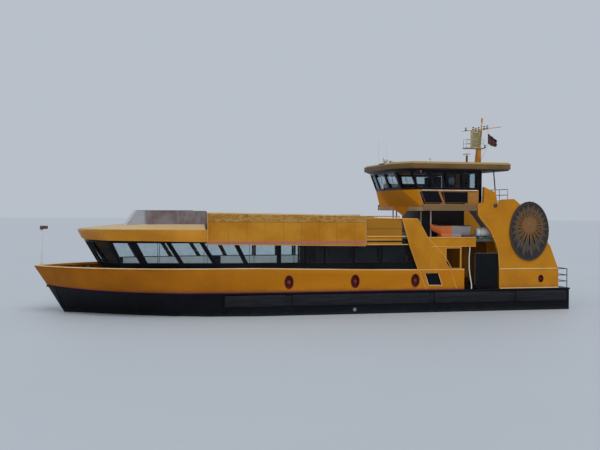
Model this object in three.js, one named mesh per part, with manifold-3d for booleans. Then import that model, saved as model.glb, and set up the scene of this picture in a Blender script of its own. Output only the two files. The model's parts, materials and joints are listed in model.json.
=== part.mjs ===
import * as THREE from 'three';
import { mergeVertices } from 'three/addons/utils/BufferGeometryUtils.js';
import Module from 'manifold-3d';

// Harbour passenger ferry. Millimetres, +X towards the bow, +Y to port, +Z up.
// The origin is amidships on the centreline at the waterline.

const wasm = await Module();
wasm.setup();

// Gaps
const seat = 0.3;
const swing = 8;

// Hull
const halfBeam = 3950;
const sternX = -14840;
const parallelX = 3500;
const stemDeckX = 14240;
const stemSheerX = 14930;
const bowFullness = 3.4;
const deckZ = 1240;
const stemDeckRise = 250;
const shell = 90;
const stemHalf = 25;

// Main deck openings and ends
const gateForeX = -8360;
const gateAftX = -10520;
const finAftX = -14160;

// Saloon
const floorTop = 1380;
const floorThick = 60;
const foredeckTop = 2060;
const foredeckThick = 100;
const foredeckAftX = 9850;
const ledgeAftX = 4000;
const saloonTop = 4055;
const frameThick = 70;
const glassThick = 14;
const aftWallX = -5800;
const aftWallThick = 60;
const aftWallHalf = 3820;
const doorHalf = 700;
const doorHeight = 2050;

// Upper deck
const deckTop = 4380;
const bandTop = 4580;
const bandThick = 80;
const deckHalf = 3800;
const railTop = 5300;
const legForeTopX = -4700;
const legTop = 5165;

// Side structures
const legOut = 3950;
const legIn = 3820;
const finIn = 3700;
const aftDeckTop = 4080;
const aftDeckThick = 180;
const aftDeckEndX = -13300;

// Wheelhouse
const bridgeTop = 5850;
const bridgeThick = 220;
const bridgeAftX = -11200;
const sillZ = 6800;
const headZ = 7880;
const wheelhouseAftX = -9300;
const wheelhouseHalf = 3690;
const wallThick = 80;

// Propulsion
const shaftY = 1600;
const propX = -13300;
const propZ = -1100;
const propRadius = 500;
const shaftTilt = 4;
const shaftRadius = 55;
const rudderX = -14150;

const rad = THREE.MathUtils.degToRad;
const sides = [['port', 1], ['starboard', -1]];

// Solids

const solid = (geometry) => {
  geometry.deleteAttribute('normal');
  geometry.deleteAttribute('uv');
  const merged = mergeVertices(geometry, 0.001);
  return new wasm.Manifold(new wasm.Mesh({
    numProp: 3,
    vertProperties: new Float32Array(merged.attributes.position.array),
    triVerts: new Uint32Array(merged.index.array),
  }));
};

const join = (...bodies) => bodies.flat().reduce((sum, body) => sum.add(body));
const cut = (body, ...tools) => tools.flat().reduce((left, tool) => left.subtract(tool), body);

const geometryOf = (body) => {
  const mesh = body.getMesh();
  const geometry = new THREE.BufferGeometry();
  const positions = new Float32Array(mesh.numVert * 3);
  for (let i = 0; i < mesh.numVert; i += 1) {
    positions.set(mesh.vertProperties.slice(i * mesh.numProp, i * mesh.numProp + 3), i * 3);
  }
  geometry.setAttribute('position', new THREE.BufferAttribute(positions, 3));
  geometry.setIndex(new THREE.BufferAttribute(new Uint32Array(mesh.triVerts), 1));
  return geometry;
};

const box = ([x0, x1], [y0, y1], [z0, z1]) => {
  const geometry = new THREE.BoxGeometry(Math.abs(x1 - x0), Math.abs(y1 - y0), Math.abs(z1 - z0));
  return solid(geometry.translate((x0 + x1) / 2, (y0 + y1) / 2, (z0 + z1) / 2));
};

const extrude = (points, depth, basis, shift) => {
  const shape = new THREE.Shape(points.map(([u, v]) => new THREE.Vector2(u, v)));
  const geometry = new THREE.ExtrudeGeometry(shape, { depth, bevelEnabled: false, steps: 1 });
  geometry.applyMatrix4(new THREE.Matrix4().makeBasis(...basis.map((b) => new THREE.Vector3(...b))));
  return solid(geometry.translate(...shift));
};

// Outlines in the XZ plane grow along Y, those in XY along Z and those in YZ along X
const plateY = (points, [y0, y1]) => extrude(
  points, Math.abs(y1 - y0), [[1, 0, 0], [0, 0, 1], [0, -1, 0]], [0, Math.max(y0, y1), 0]);
const plateZ = (points, [z0, z1]) => extrude(
  points, Math.abs(z1 - z0), [[1, 0, 0], [0, 1, 0], [0, 0, 1]], [0, 0, Math.min(z0, z1)]);
const plateX = (points, [x0, x1]) => extrude(
  points, Math.abs(x1 - x0), [[0, 1, 0], [0, 0, 1], [1, 0, 0]], [Math.min(x0, x1), 0, 0]);

const rod = (from, to, radius, count = 8, endRadius = radius) => {
  const a = new THREE.Vector3(...from);
  const b = new THREE.Vector3(...to);
  const geometry = new THREE.CylinderGeometry(endRadius, radius, a.distanceTo(b), count);
  const turn = new THREE.Quaternion().setFromUnitVectors(
    new THREE.Vector3(0, 1, 0), b.clone().sub(a).normalize());
  geometry.applyQuaternion(turn);
  const middle = a.add(b).multiplyScalar(0.5);
  return solid(geometry.translate(middle.x, middle.y, middle.z));
};

const path = (points, radius, count = 6) => points.slice(1).map(
  (point, i) => rod(points[i], point, radius, count));

// A closed skin over sections with the same number of points
const loft = (sections) => {
  const count = sections[0].length;
  const positions = sections.flat(2);
  const index = [];
  for (let s = 0; s + 1 < sections.length; s += 1) {
    for (let i = 0; i < count; i += 1) {
      const a = s * count + i;
      const b = s * count + (i + 1) % count;
      index.push(a, b, a + count, b, b + count, a + count);
    }
  }
  const last = (sections.length - 1) * count;
  for (let i = 1; i + 1 < count; i += 1) {
    index.push(0, i + 1, i);
    index.push(last, last + i, last + i + 1);
  }
  let volume = 0;
  const corner = (k) => new THREE.Vector3(...positions.slice(3 * index[k], 3 * index[k] + 3));
  for (let k = 0; k < index.length; k += 3) {
    volume += corner(k).dot(corner(k + 1).cross(corner(k + 2)));
  }
  const turned = volume < 0 ? index.reverse() : index;
  const geometry = new THREE.BufferGeometry();
  geometry.setAttribute('position', new THREE.Float32BufferAttribute(positions, 3));
  geometry.setIndex(turned);
  return solid(geometry);
};

const inward = (a, b) => {
  const length = Math.hypot(b[0] - a[0], b[1] - a[1]);
  return [-(b[1] - a[1]) / length, (b[0] - a[0]) / length];
};

// Moves the edges of a convex anticlockwise outline inwards, each by its own amount. The last
// edge lies across the stern end.
const inset = (outline, by, byAft = by) => {
  const count = outline.length;
  const lines = outline.map((a, i) => {
    const b = outline[(i + 1) % count];
    const [nx, ny] = inward(a, b);
    const along = Array.isArray(by) ? by[i] : by;
    const shift = i === count - 1 ? byAft : along;
    return { x: a[0] + nx * shift, y: a[1] + ny * shift, dx: b[0] - a[0], dy: b[1] - a[1] };
  });
  return outline.map((_, i) => {
    const p = lines[(i + count - 1) % count];
    const q = lines[i];
    const cross = p.dx * q.dy - p.dy * q.dx;
    if (Math.abs(cross) < 1) return [q.x, q.y];
    const t = ((q.x - p.x) * q.dy - (q.y - p.y) * q.dx) / cross;
    return [p.x + p.dx * t, p.y + p.dy * t];
  });
};

// Turns the port half of an outline, bow first, into a closed anticlockwise outline that starts
// at the port stern corner's mirror image and ends at the port stern corner
const wholeOutline = (half) => {
  const port = half.filter(([, y]) => y > 0).map(([x, y]) => [x, y]);
  const starboard = port.map(([x, y]) => [x, -y]).reverse();
  const tip = half.filter(([, y]) => y === 0).map(([x, y]) => [x, y]);
  return [...starboard, ...tip, ...port];
};

const atHeight = (outline, z) => outline.map(([x, y]) => [x, y, z]);
const between = (low, high, t) => low.map((p, i) => [
  p[0] + (high[i][0] - p[0]) * t, p[1] + (high[i][1] - p[1]) * t]);

// A wall whose outline changes evenly from its foot to its top
const prism = (foot, top, z0, z1) => loft([atHeight(foot, z0), atHeight(top, z1)]);
const ring = (foot, top, z0, z1, thick, thickAft = thick) => {
  const [low, high] = [inset(foot, thick, thickAft), inset(top, thick, thickAft)];
  return cut(prism(foot, top, z0, z1), loft([
    atHeight(low, z0 - 50), atHeight(low, z0), atHeight(high, z1), atHeight(high, z1 + 50)]));
};

// A cutter through one facet of a sloping wall, between two heights and two shares of its length
const facetCutter = (foot, top, i, z0, z1, heights, [u0, u1], reach = 150) => {
  const j = (i + 1) % foot.length;
  return loft(heights.map((z) => {
    const [a, b] = between([foot[i], foot[j]], [top[i], top[j]], (z - z0) / (z1 - z0));
    const [nx, ny] = inward(a, b);
    return [[u0, -1], [u1, -1], [u1, 1], [u0, 1]].map(([u, way]) => [
      a[0] + (b[0] - a[0]) * u + nx * way * reach, a[1] + (b[1] - a[1]) * u + ny * way * reach, z]);
  }));
};

// Finish

const paint = (color, roughness = 0.45, metalness = 0) => new THREE.MeshStandardMaterial(
  { color, roughness, metalness });
const yellow = paint(0xe8a020);
const orange = paint(0xdc7c1c);
const black = paint(0x14161a);
const rubber = paint(0x2b2e30, 0.9);
const deckGreen = paint(0x4c5a54, 0.8);
const pale = paint(0xd8cfae);
const white = paint(0xe8e8e4);
const grey = paint(0x8a8f92, 0.6);
const steel = paint(0xa8acae, 0.35, 0.8);
const bronze = paint(0xb08a48, 0.3, 0.9);
const brown = paint(0x6b3a2a, 0.7);
const glass = new THREE.MeshStandardMaterial(
  { color: 0x8fa3ad, roughness: 0.08, transparent: true, opacity: 0.35 });

const ferry = new THREE.Group();
const place = (name, body, material, position = [0, 0, 0], parent = ferry) => {
  const mesh = new THREE.Mesh(geometryOf(body), material);
  mesh.name = name;
  mesh.position.set(...position);
  parent.add(mesh);
  return mesh;
};

// Hull form

const deckEdgeZ = (x) => deckZ + stemDeckRise * Math.max(0, x / stemDeckX) ** 3;
const planHalf = (x, tip, half = halfBeam) => Math.max(
  stemHalf, half * (1 - Math.max(0, (x - parallelX) / (tip - parallelX)) ** bowFullness));

// Height of the top of the yellow side against length
const sheerPoints = [[-14160, 2360], [-5600, 2360], [-2300, 2400], [3400, 2520], [14930, 2550]];
const sheerZ = (x) => {
  const k = Math.max(1, sheerPoints.findIndex(([px]) => px >= x));
  const [[x0, z0], [x1, z1]] = [sheerPoints[k - 1], sheerPoints[k]];
  return z0 + (z1 - z0) * (x - x0) / (x1 - x0);
};

// Stations: x at the sheer and deck edge, x, half width and z of the chine, x and z of the keel
const stations = [
  [-14840, -14840, -14840, halfBeam, -150, -14840, -300],
  [-12000, -12000, -12000, halfBeam, -300, -12000, -650],
  [-8500, -8500, -8500, halfBeam, -500, -8500, -1250],
  [-2000, -2000, -2000, halfBeam, -600, -2000, -1500],
  [parallelX, parallelX, 3500, 3930, -560, 3500, -1500],
  [6100, 6000, 5800, 3540, -470, 5600, -1500],
  [8100, 7900, 7600, 2900, -350, 7300, -1490],
  [9900, 9650, 9300, 2080, -200, 8900, -1450],
  [11400, 11100, 10750, 1380, -40, 10300, -1390],
  [12700, 12300, 11900, 760, 70, 11350, -1320],
  [13700, 13250, 12750, 300, 130, 12050, -1250],
  [14450, 13850, 13200, 110, 150, 12400, -1210],
  [stemSheerX, stemDeckX, 13440, stemHalf, 160, 12600, -1180],
];
const keelHalf = 150;

const hullForm = (grow = 0) => loft(stations.map(([, deckX, chineX, chineY, chineZ, keelX, keelZ]) => {
  const y = planHalf(deckX, stemDeckX) + grow;
  const z = deckEdgeZ(deckX) + grow;
  const k = Math.min(keelHalf, chineY);
  return [
    [deckX, -y, z], [chineX, -chineY - grow, chineZ], [keelX, -k, keelZ],
    [keelX, k, keelZ], [chineX, chineY + grow, chineZ], [deckX, y, z]];
}));

// Engine room under the lobby, open at the top for its hatch
const wellX = [-9050, -6800];
const wellHalf = 1650;
const wellFloor = -700;
const engineWell = box(wellX, [-wellHalf, wellHalf], [wellFloor, deckZ + 100]);

const shaftDirection = new THREE.Vector3(Math.cos(rad(shaftTilt)), 0, Math.sin(rad(shaftTilt)));
const onShaft = (side, distance) => {
  const p = shaftDirection.clone().multiplyScalar(distance);
  return [propX + p.x, side * shaftY, propZ + p.z];
};
const shaftLength = 4700;
const bracketAt = 330;
const bracketLength = 220;
const bracketRadius = 115;
const sternTubeStart = 3300;
const tubeRadius = 120;
const stockRadius = 60;
const stockTop = -150;

// Ramp hinge lines at the deck edge, with lugs either side of each knuckle
const rampX = [-10400, -9040];
const rampHinge = [3860, deckZ + 75];
const pinRadius = 18;
const knuckleX = [-10150, -9290];
const lugOffset = 60 + swing + 15;
const rampLugs = (side) => {
  const [hy, hz] = rampHinge;
  return cut(
    join(knuckleX.flatMap((x) => [-1, 1].map((way) => box(
      [x + way * lugOffset - 15, x + way * lugOffset + 15], [side * hy - 30, side * hy + 30],
      [deckZ - 20, hz + 30])))),
    rod([rampX[0], side * hy, hz], [rampX[1], side * hy, hz], pinRadius + 0.6, 24));
};

const propulsionMounts = (side) => [
  rod(onShaft(side, bracketAt - bracketLength / 2), onShaft(side, bracketAt + bracketLength / 2),
    bracketRadius, 16),
  rod(onShaft(side, bracketAt), [propX + 420, side * (shaftY - 520), -250], 45, 8),
  rod(onShaft(side, bracketAt), [propX + 420, side * (shaftY + 520), -150], 45, 8),
  rod(onShaft(side, sternTubeStart), onShaft(side, shaftLength + 100), tubeRadius, 16),
  rod([rudderX, side * shaftY, -400], [rudderX, side * shaftY, -200], 130, 16),
];
const propulsionBores = (side) => [
  rod(onShaft(side, -100), onShaft(side, shaftLength + 20), shaftRadius + 1, 20),
  rod([rudderX, side * shaftY, -500], [rudderX, side * shaftY, stockTop + 20], stockRadius + 1, 20),
];

const skeg = plateY(
  [[-11600, -500], [-10200, -1480], [10600, -1560], [11200, -1300], [8000, -1300], [-8500, -1100]],
  [-70, 70]);

place('hull', join(cut(
  join(hullForm(), skeg, sides.flatMap(([, side]) => propulsionMounts(side))),
  engineWell, sides.flatMap(([, side]) => propulsionBores(side))),
sides.map(([, side]) => rampLugs(side))), black);

// Yellow topsides

const topsidesForm = (tipBack, half, low, high) => loft(stations
  .filter(([sheerX]) => sheerX > gateForeX)
  .map(([sheerX, deckX]) => [sheerX, deckX])
  .reduce((list, pair) => (list.length ? [...list, pair] : [[gateForeX, gateForeX],
    [-5600, -5600], [-2300, -2300], pair]), [])
  .sort((a, b) => a[0] - b[0])
  .map(([sheerX, deckX]) => {
    const backSheer = Math.min(sheerX, stemSheerX - tipBack);
    const backDeck = Math.min(deckX, stemDeckX - tipBack);
    const yLow = planHalf(backDeck, stemDeckX - tipBack, half);
    const yHigh = planHalf(backSheer, stemSheerX - tipBack, half);
    const zLow = deckEdgeZ(deckX) + low;
    const zHigh = sheerZ(sheerX) + high;
    return [[backDeck, -yLow, zLow], [backDeck, yLow, zLow], [backSheer, yHigh, zHigh],
      [backSheer, -yHigh, zHigh]];
  }));

// Bollard niches in the side: x of the centre
const nicheX = [1650, -2020, -5470];
const nicheZ = 1780;
const nicheHalfX = 230;
const nicheHalfZ = 350;
const nicheDepth = 230;

const ellipse = (cx, cz, a, b, count) => Array.from({ length: count }, (_, i) => {
  const angle = (i / count) * Math.PI * 2;
  return [cx + a * Math.cos(angle), cz + b * Math.sin(angle)];
});

const niches = (centres, side, halfX, halfZ) => ({
  boxes: centres.map((x) => box(
    [x - halfX - 40, x + halfX + 40], [side * (halfBeam - 20), side * (halfBeam - nicheDepth - 30)],
    [nicheZ - halfZ - 40, nicheZ + halfZ + 40])),
  holes: centres.map((x) => plateY(
    ellipse(x, nicheZ, halfX, halfZ, 20), [side * (halfBeam + 60), side * (halfBeam - nicheDepth)])),
  posts: centres.map((x) => rod(
    [x, side * (halfBeam - nicheDepth - 10), nicheZ], [x, side * (halfBeam - 30), nicheZ], 70, 12)),
});

// Plate across the stem head, inside the bulwark
const stemHook = topsidesForm(20, halfBeam - 20, seat, 0).intersect(
  box([14250, 15000], [-1000, 1000], [2410, 2440]));

// Small window in the side below the leg
const lowWindow = [[-6030, 2160], [-6820, 2160], [-7040, 1490], [-6250, 1500]];

let topsides = cut(
  topsidesForm(0, halfBeam, seat, 0),
  topsidesForm(150, halfBeam - shell, -60, 60),
  box([gateForeX - 400, gateForeX + 1], [-halfBeam + shell, halfBeam - shell], [1000, 2600]));
for (const [, side] of sides) {
  const set = niches(nicheX, side, nicheHalfX, nicheHalfZ);
  topsides = join(cut(join(topsides, set.boxes), set.holes), set.posts);
  topsides = cut(topsides, plateY(lowWindow, [side * 3700, side * 4100]));
}
place('topsides', join(topsides, stemHook), yellow);

// Bar along the deck edge and round the stern

const edgeForm = (grow, low, high) => loft(stations.map(([, deckX], i) => {
  const x = deckX + (i === 0 ? -grow : 0) + (deckX === stemDeckX ? grow : 0);
  const y = planHalf(deckX, stemDeckX) + grow;
  const z = deckEdgeZ(deckX);
  return [[x, -y, z + low], [x, y, z + low], [x, y, z + high], [x, -y, z + high]];
}));
place('deck_edge_bar', cut(edgeForm(42, -90, -5), edgeForm(seat, -200, 200)), black);

// Rubber fenders: x of each end of the blocks, on a backing strip along the side
const fenderBlocks = [[-14600, -11480], [-11120, -6580], [-6220, 1470], [1880, 5090]];
const fenderZ = [500, 1120];
for (const [name, side] of sides) {
  const strip = box([-14600, 5090], [side * (halfBeam - 200), side * (halfBeam + 15)],
    [fenderZ[0] + 60, fenderZ[1] - 60]);
  const blocks = fenderBlocks.map(([x0, x1]) => plateX([
    [side * (halfBeam - 200), fenderZ[0]], [side * 4040, fenderZ[0] + 20],
    [side * 4065, fenderZ[0] + 110], [side * 4065, fenderZ[1] - 110],
    [side * 4040, fenderZ[1] - 20], [side * (halfBeam - 200), fenderZ[1]]], [x0, x1]));
  place(`fender_${name}`, cut(join(strip, blocks), hullForm(seat)), rubber);
}

// Saloon foot, port half from the bow: x and y of each corner, and how far the wall from there
// to the next corner leans out at the head
const saloonPoints = [
  [11200, 0, 1133], [11020, 1050, 1010], [10600, 2050, 840], [10150, 2866, 280], [4300, 3848, -50],
  [-5750, 3855, 0]];
const saloonAftLean = 770;
const saloonFoot = wholeOutline(saloonPoints);
const saloonLeans = saloonPoints.slice(0, -1).map(([, , lean]) => -lean);
const saloonHead = inset(saloonFoot, [...saloonLeans.toReversed(), ...saloonLeans], saloonAftLean);
const saloonBase = foredeckTop + 1;
const paneZ = [2810, 3880];

// Side panes: x at the sill and at the head of each end
const sidePanes = [
  [10340, 9420, 10840, 10020], [9040, 7410, 9600, 8090], [7190, 5700, 7870, 6380], [5480, 4070, 6160, 4620],
  [3850, 2290, 4400, 2290], [2070, 850, 2070, 850], [630, -230, 630, -230],
  [-450, -1850, -450, -1850], [-2070, -3420, -2070, -3420], [-3640, -5250, -3640, -4900],
];

const frontFacets = [2, 3, 4, 5, 6, 7];
const frontPanes = frontFacets.map((i) => facetCutter(
  saloonFoot, saloonHead, i, saloonBase, saloonTop, paneZ, [0.08, 0.92]));
const sideCutters = sides.flatMap(([, side]) => sidePanes.map(([a, b, c, d]) => plateY(
  [[a, paneZ[0]], [b, paneZ[0]], [d, paneZ[1]], [c, paneZ[1]]], [side * 2700, side * 4100])));

place('saloon_window_frame', cut(
  ring(saloonFoot, saloonHead, saloonBase, saloonTop, frameThick, -600),
  box([-6500, ledgeAftX - 100], [-halfBeam, halfBeam], [saloonBase - 50, saloonBase + 150]),
  frontPanes, sideCutters), black);

const glassShare = (z) => (z - saloonBase) / (saloonTop - saloonBase);
const glassZ = [2500, 4000];
const glassAt = (z) => inset(between(saloonFoot, saloonHead, glassShare(z)), frameThick + seat, 30);
place('saloon_glass', ring(glassAt(glassZ[0]), glassAt(glassZ[1]), ...glassZ, glassThick, -600), glass);

// Foredeck inside the bulwark, with a ledge along the saloon's foot and a riser below it

const insideShell = (xs, zs) => topsidesForm(150.5, halfBeam - shell - 0.5, -60, 60).intersect(
  box(xs, [-halfBeam, halfBeam], zs));
const foredeckPlate = insideShell([ledgeAftX, 15000], [foredeckTop - foredeckThick, foredeckTop]);
const saloonWell = plateZ(
  [...inset(saloonFoot, frameThick + 60, -600)].map(([x, y]) => [Math.min(x, foredeckAftX), y]),
  [foredeckTop - 300, foredeckTop + 300]);
const riser = box([foredeckAftX, foredeckAftX + 50], [-2700, 2700], [floorTop - 40, foredeckTop - 10]);
const hatchX = [12300, 12950];
const hatchHalf = 350;
place('foredeck', cut(join(foredeckPlate, riser), saloonWell,
  box([hatchX[0] + 60, hatchX[1] - 60], [-hatchHalf + 60, hatchHalf - 60], [1800, 2200])), deckGreen);

const hinge = (x, y, z, width, along = 'y') => (along === 'y'
  ? rod([x, y - width / 2, z], [x, y + width / 2, z], 22, 12)
  : rod([x - width / 2, y, z], [x + width / 2, y, z], 22, 12));

const hatchLid = join(
  box([hatchX[0], hatchX[1]], [-hatchHalf, hatchHalf], [foredeckTop + seat, foredeckTop + 60]),
  hinge(hatchX[0] - 20, 0, foredeckTop + 38, 500),
  box([hatchX[0] - 20, hatchX[0] + 20], [-250, 250], [foredeckTop + 20, foredeckTop + 56]));
place('foredeck_hatch', hatchLid, yellow);

const winch = join(
  box([11980, 12180], [-500, 500], [foredeckTop + seat, foredeckTop + 60]),
  box([12000, 12160], [-420, -360], [foredeckTop + 40, foredeckTop + 420]),
  box([12000, 12160], [360, 420], [foredeckTop + 40, foredeckTop + 420]),
  rod([12080, -380, foredeckTop + 260], [12080, 380, foredeckTop + 260], 110, 14),
  rod([12080, -560, foredeckTop + 260], [12080, 560, foredeckTop + 260], 45, 10));
place('anchor_winch', winch, grey);

const bittPosts = [[13250, 750], [13250, 420], [13250, -420], [13250, -750]];
place('foredeck_bitts', join(
  box([13170, 13330], [-900, 900], [foredeckTop + seat, foredeckTop + 30]),
  bittPosts.map(([x, y]) => rod([x, y, foredeckTop + 20], [x, y, foredeckTop + 330], 65, 12)),
  rod([13250, 330, foredeckTop + 210], [13250, 840, foredeckTop + 210], 35, 8),
  rod([13250, -330, foredeckTop + 210], [13250, -840, foredeckTop + 210], 35, 8)), black);

const staffX = 14530;
const staffFoot = 2440 + seat;
place('jackstaff', join(
  box([staffX - 60, staffX + 60], [-60, 60], [staffFoot, staffFoot + 30]),
  rod([staffX, 0, staffFoot + 20], [staffX, 0, 4600], 24, 8),
  rod([staffX, 0, 4540], [staffX, 0, 4720], 60, 10)), white);

// Saloon floor with rows of seats on it

const seatRow = (x, y0, y1, z, back = 900) => join(
  box([x - 220, x + 220], [y0, y1], [z + 380, z + 450]),
  box([x - 260, x - 180], [y0, y1], [z + 380, z + back]),
  box([x - 60, x + 60], [(y0 + y1) / 2 - 60, (y0 + y1) / 2 + 60], [z - 20, z + 400]));
const floorForm = insideShell(
  [aftWallX + 45, foredeckAftX - seat], [floorTop - floorThick + 10, floorTop]);
const seatX = Array.from({ length: 10 }, (_, i) => 8700 - i * 880);
place('saloon_floor', join(floorForm, seatX.flatMap((x) => {
  const out = Math.min(3550, 2680 + 0.1678 * (9950 - x));
  return [seatRow(x, 800, out, floorTop), seatRow(x, -out, -800, floorTop)];
})), brown);

// Rooms between the saloon and the lobby, with the stair and an aisle between them
const roomX = [-5000, -560];
const roomZ = [floorTop + seat, saloonTop - 20];
place('service_room_port', box(roomX, [1050, 3600], roomZ), grey);
place('service_room_starboard', box(roomX, [-3600, -1850], roomZ), grey);

const stairFoot = -5300;
const stairHead = -1700;
const stairY = [-250, 950];
const stepCount = 14;
const stairRise = (deckTop - floorTop) / stepCount;
const stairRun = (stairHead - stairFoot) / stepCount;
const stringer = (y) => plateY([
  [stairFoot, floorTop + seat], [stairFoot + 300, floorTop + seat],
  [stairHead - 10, deckTop - 330], [stairHead - 10, deckTop - 20], [stairHead - 120, deckTop - 20],
  [stairFoot, floorTop + 300]], [y, y + 40]);
place('stairs', join(stringer(stairY[0]), stringer(stairY[1] - 40),
  Array.from({ length: stepCount - 1 }, (_, i) => box(
    [stairFoot + stairRun * i + 60, stairFoot + stairRun * (i + 1) + 80],
    [stairY[0] + 20, stairY[1] - 20],
    [floorTop + stairRise * (i + 1) - 40, floorTop + stairRise * (i + 1)]))), steel);

// Bulkhead at the lobby with its sliding door
const doorSill = floorTop + 10;
const doorX = aftWallX - aftWallThick / 2;
const doorCentre = -1650 + doorHalf;
const doorTop = doorSill + doorHeight;
place('saloon_aft_wall', join(cut(
  box([doorX, aftWallX + aftWallThick / 2], [-aftWallHalf + seat, aftWallHalf - seat],
    [deckZ + seat, saloonTop - 20]),
  box([aftWallX - 100, aftWallX + 100], [doorCentre - doorHalf, doorCentre + doorHalf], [doorSill, doorTop])),
box([doorX - 60, doorX + 10], [doorCentre - doorHalf - 60, doorCentre + 3 * doorHalf + 160],
  [doorTop + 60 + seat, doorTop + 140])), orange);
place('saloon_door', box([doorX - 52, doorX - swing],
  [doorCentre - doorHalf - 40, doorCentre + doorHalf + 40], [doorSill - 60, doorTop + 60]), steel);

// Upper deck and its yellow band

const deckAftX = -5690;
const upperPoints = saloonHead.filter(([, y]) => y > -1).slice(0, -1);
const upperOutline = wholeOutline([...upperPoints, [deckAftX, deckHalf]]);
const stairHole = box([stairFoot + 350, stairHead + 20], [stairY[0] - 20, stairY[1] + 20], [3900, 4600]);
place('upper_deck', cut(
  prism(upperOutline, upperOutline, saloonTop + seat, deckTop), stairHole), deckGreen);

const bandInner = wholeOutline([...upperPoints, [legForeTopX, deckHalf]]);
const bandFoot = inset(bandInner, -bandThick - seat, 0);
const bandFlare = 220;
const bandHead = bandFoot.map(([x, y]) => [x + (x > 9000 ? bandFlare : 0), y]);
const bandHole = inset(bandInner, -seat, -900);
const tipHalf = 600;
const bandLowZ = (x, y) => (Math.abs(y) < tipHalf ? 4050 : 4000 - 14 * Math.max(0, (10900 - x) / 1000));
const bandHighZ = (y) => (Math.abs(y) < tipHalf ? bandTop - 90 : bandTop);
const bandForm = loft([
  bandFoot.map(([x, y]) => [x, y, bandLowZ(x, y)]), bandHead.map(([x, y]) => [x, y, bandHighZ(y)])]);
const sidePanel = (side) => plateY(
  [[-2660, bandTop - 20], [-2660, 5210], [legForeTopX, legTop + 10], [legForeTopX, bandTop - 20]],
  [side * (deckHalf + 25), side * (deckHalf + bandThick)]);

// Windscreen on the upper deck: x and y at the foot, and how far each face leans in at the top
const screenFoot = wholeOutline([[10390, 1900], [9357, 3020], [6000, 3420]]);
const screenLeans = [90, 550, 843, 550, 90];
const screenHead = inset(screenFoot, screenLeans, 0);
const screenZ = [deckTop + seat, 5560];
const screenThick = 16;
const screenGlass = ring(screenFoot, screenHead, ...screenZ, screenThick, -600);

// Crown of the roof, rising from the band's edge to the windscreen
const crownAftX = 6100;
const crownEdge = bandHead.filter(([x, y]) => x > 9000 && y >= -1)
  .map(([x, y]) => [x, y < 1 ? 0 : y]);
const crownLow = wholeOutline([...crownEdge, [crownAftX, deckHalf + bandThick - 10]]);
const crownTop = wholeOutline([
  [10090, 0], [10090, 950], [10090, 1890], [9130, 2990], [crownAftX, 3390]]);
const crownRise = (x) => 4800 + 50 * Math.min(1, Math.max(0, (10090 - x) / 960));
const screenBlock = loft([
  atHeight(inset(screenFoot, -seat, -600), deckTop - 200), atHeight(inset(screenFoot, -seat, -600), screenZ[0]),
  atHeight(inset(screenHead, -seat, -600), screenZ[1])]);
const crown = cut(loft([
  atHeight(inset(crownLow, 60), deckTop + seat), crownLow.map(([x, y]) => [x, y, bandHighZ(y)]),
  crownTop.map(([x, y]) => [x, y, crownRise(x)])]), screenBlock);
place('roof_band', join(
  cut(bandForm,
    prism(bandHole, bandHole, saloonTop - 400, bandTop + 300),
    prism(inset(saloonFoot, -seat), inset(saloonHead, -seat), saloonBase, saloonTop + seat)),
  crown, sides.map(([, side]) => sidePanel(side))), yellow);
const ringPath = (outline, z) => outline.map(([x, y]) => [x, y, z]);
const screenIn = (outline) => inset(outline, screenThick + 38, 0);
const screenPosts = screenIn(screenFoot).map(([x, y], i) => {
  const [u, v] = screenIn(screenHead)[i];
  return rod([x, y, deckTop - 20], [u, v, screenZ[1] - 30], 25, 8);
});
const belowDeck = box([5000, 11000], [-4000, 4000], [deckTop - 100, deckTop + seat]);
place('windscreen_glass', screenGlass, glass);
place('windscreen_frame', cut(join(
  screenPosts, path(ringPath(screenIn(screenHead), screenZ[1] - 45), 20, 6)), belowDeck), grey);

// Rails, boards and benches on the upper deck

const railPosts = [5850, 4550, 3250, 1950, 650, -650, -1950, -3250, -4600];
for (const [name, side] of sides) {
  const y = side * (deckHalf - 90);
  place(`rail_${name}`, join(
    railPosts.map((x) => rod([x, y, deckTop + seat], [x, y, railTop], 24, 8)),
    [[railTop, 24], [5030, 14], [4770, 14]].map(([z, r]) => rod([5850, y, z], [-4600, y, z], r, 8))), yellow);
  place(`side_board_${name}`, plateY(
    [[5990, 3815], [5990, 5435], [-2630, 5320], [-2630, 3700]],
    [side * (deckHalf + bandThick + 2 * seat), side * (deckHalf + bandThick + 45)]), yellow);
}

const benchX = Array.from({ length: 7 }, (_, i) => 6900 - i * 1150);
place('deck_benches', join(
  box([benchX.at(-1) - 260, benchX[0] + 260], [1870, 1930], [deckTop + seat, deckTop + 40]),
  box([benchX.at(-1) - 260, benchX[0] + 260], [-1930, -1870], [deckTop + seat, deckTop + 40]),
  box([benchX[0] - 40, benchX[0] + 40], [-1900, 1900], [deckTop + seat, deckTop + 40]),
  benchX.flatMap((x) => [
    seatRow(x, 800, 3000, deckTop + 25, 850), seatRow(x, -3000, -800, deckTop + 25, 850)])),
brown);

// Side legs between the window band and the boarding gate

const frameAftX = (z) => saloonPoints.at(-1)[0]
  + saloonAftLean * (z - saloonBase) / (saloonTop - saloonBase) - 1;
const legAftX = -8200;
const legOutline = [
  [frameAftX(2360), 2360 + seat], [frameAftX(3640), 3640], [legForeTopX, legTop + 10], [-5600, legTop],
  [-6170, 4150], [-9050, 4150], [-9050, 3640], [legAftX, 3640], [legAftX, 2360 + seat]];
const legWindow = [[-7270, 3550], [-8120, 3550], [-8120, 2420], [-7520, 2420], [-7270, 2700]];
for (const [name, side] of sides) {
  place(`leg_${name}`, cut(
    plateY(legOutline, [side * legIn, side * legOut]), plateY(legWindow, [side * 3700, side * 4000])), yellow);
}

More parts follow.
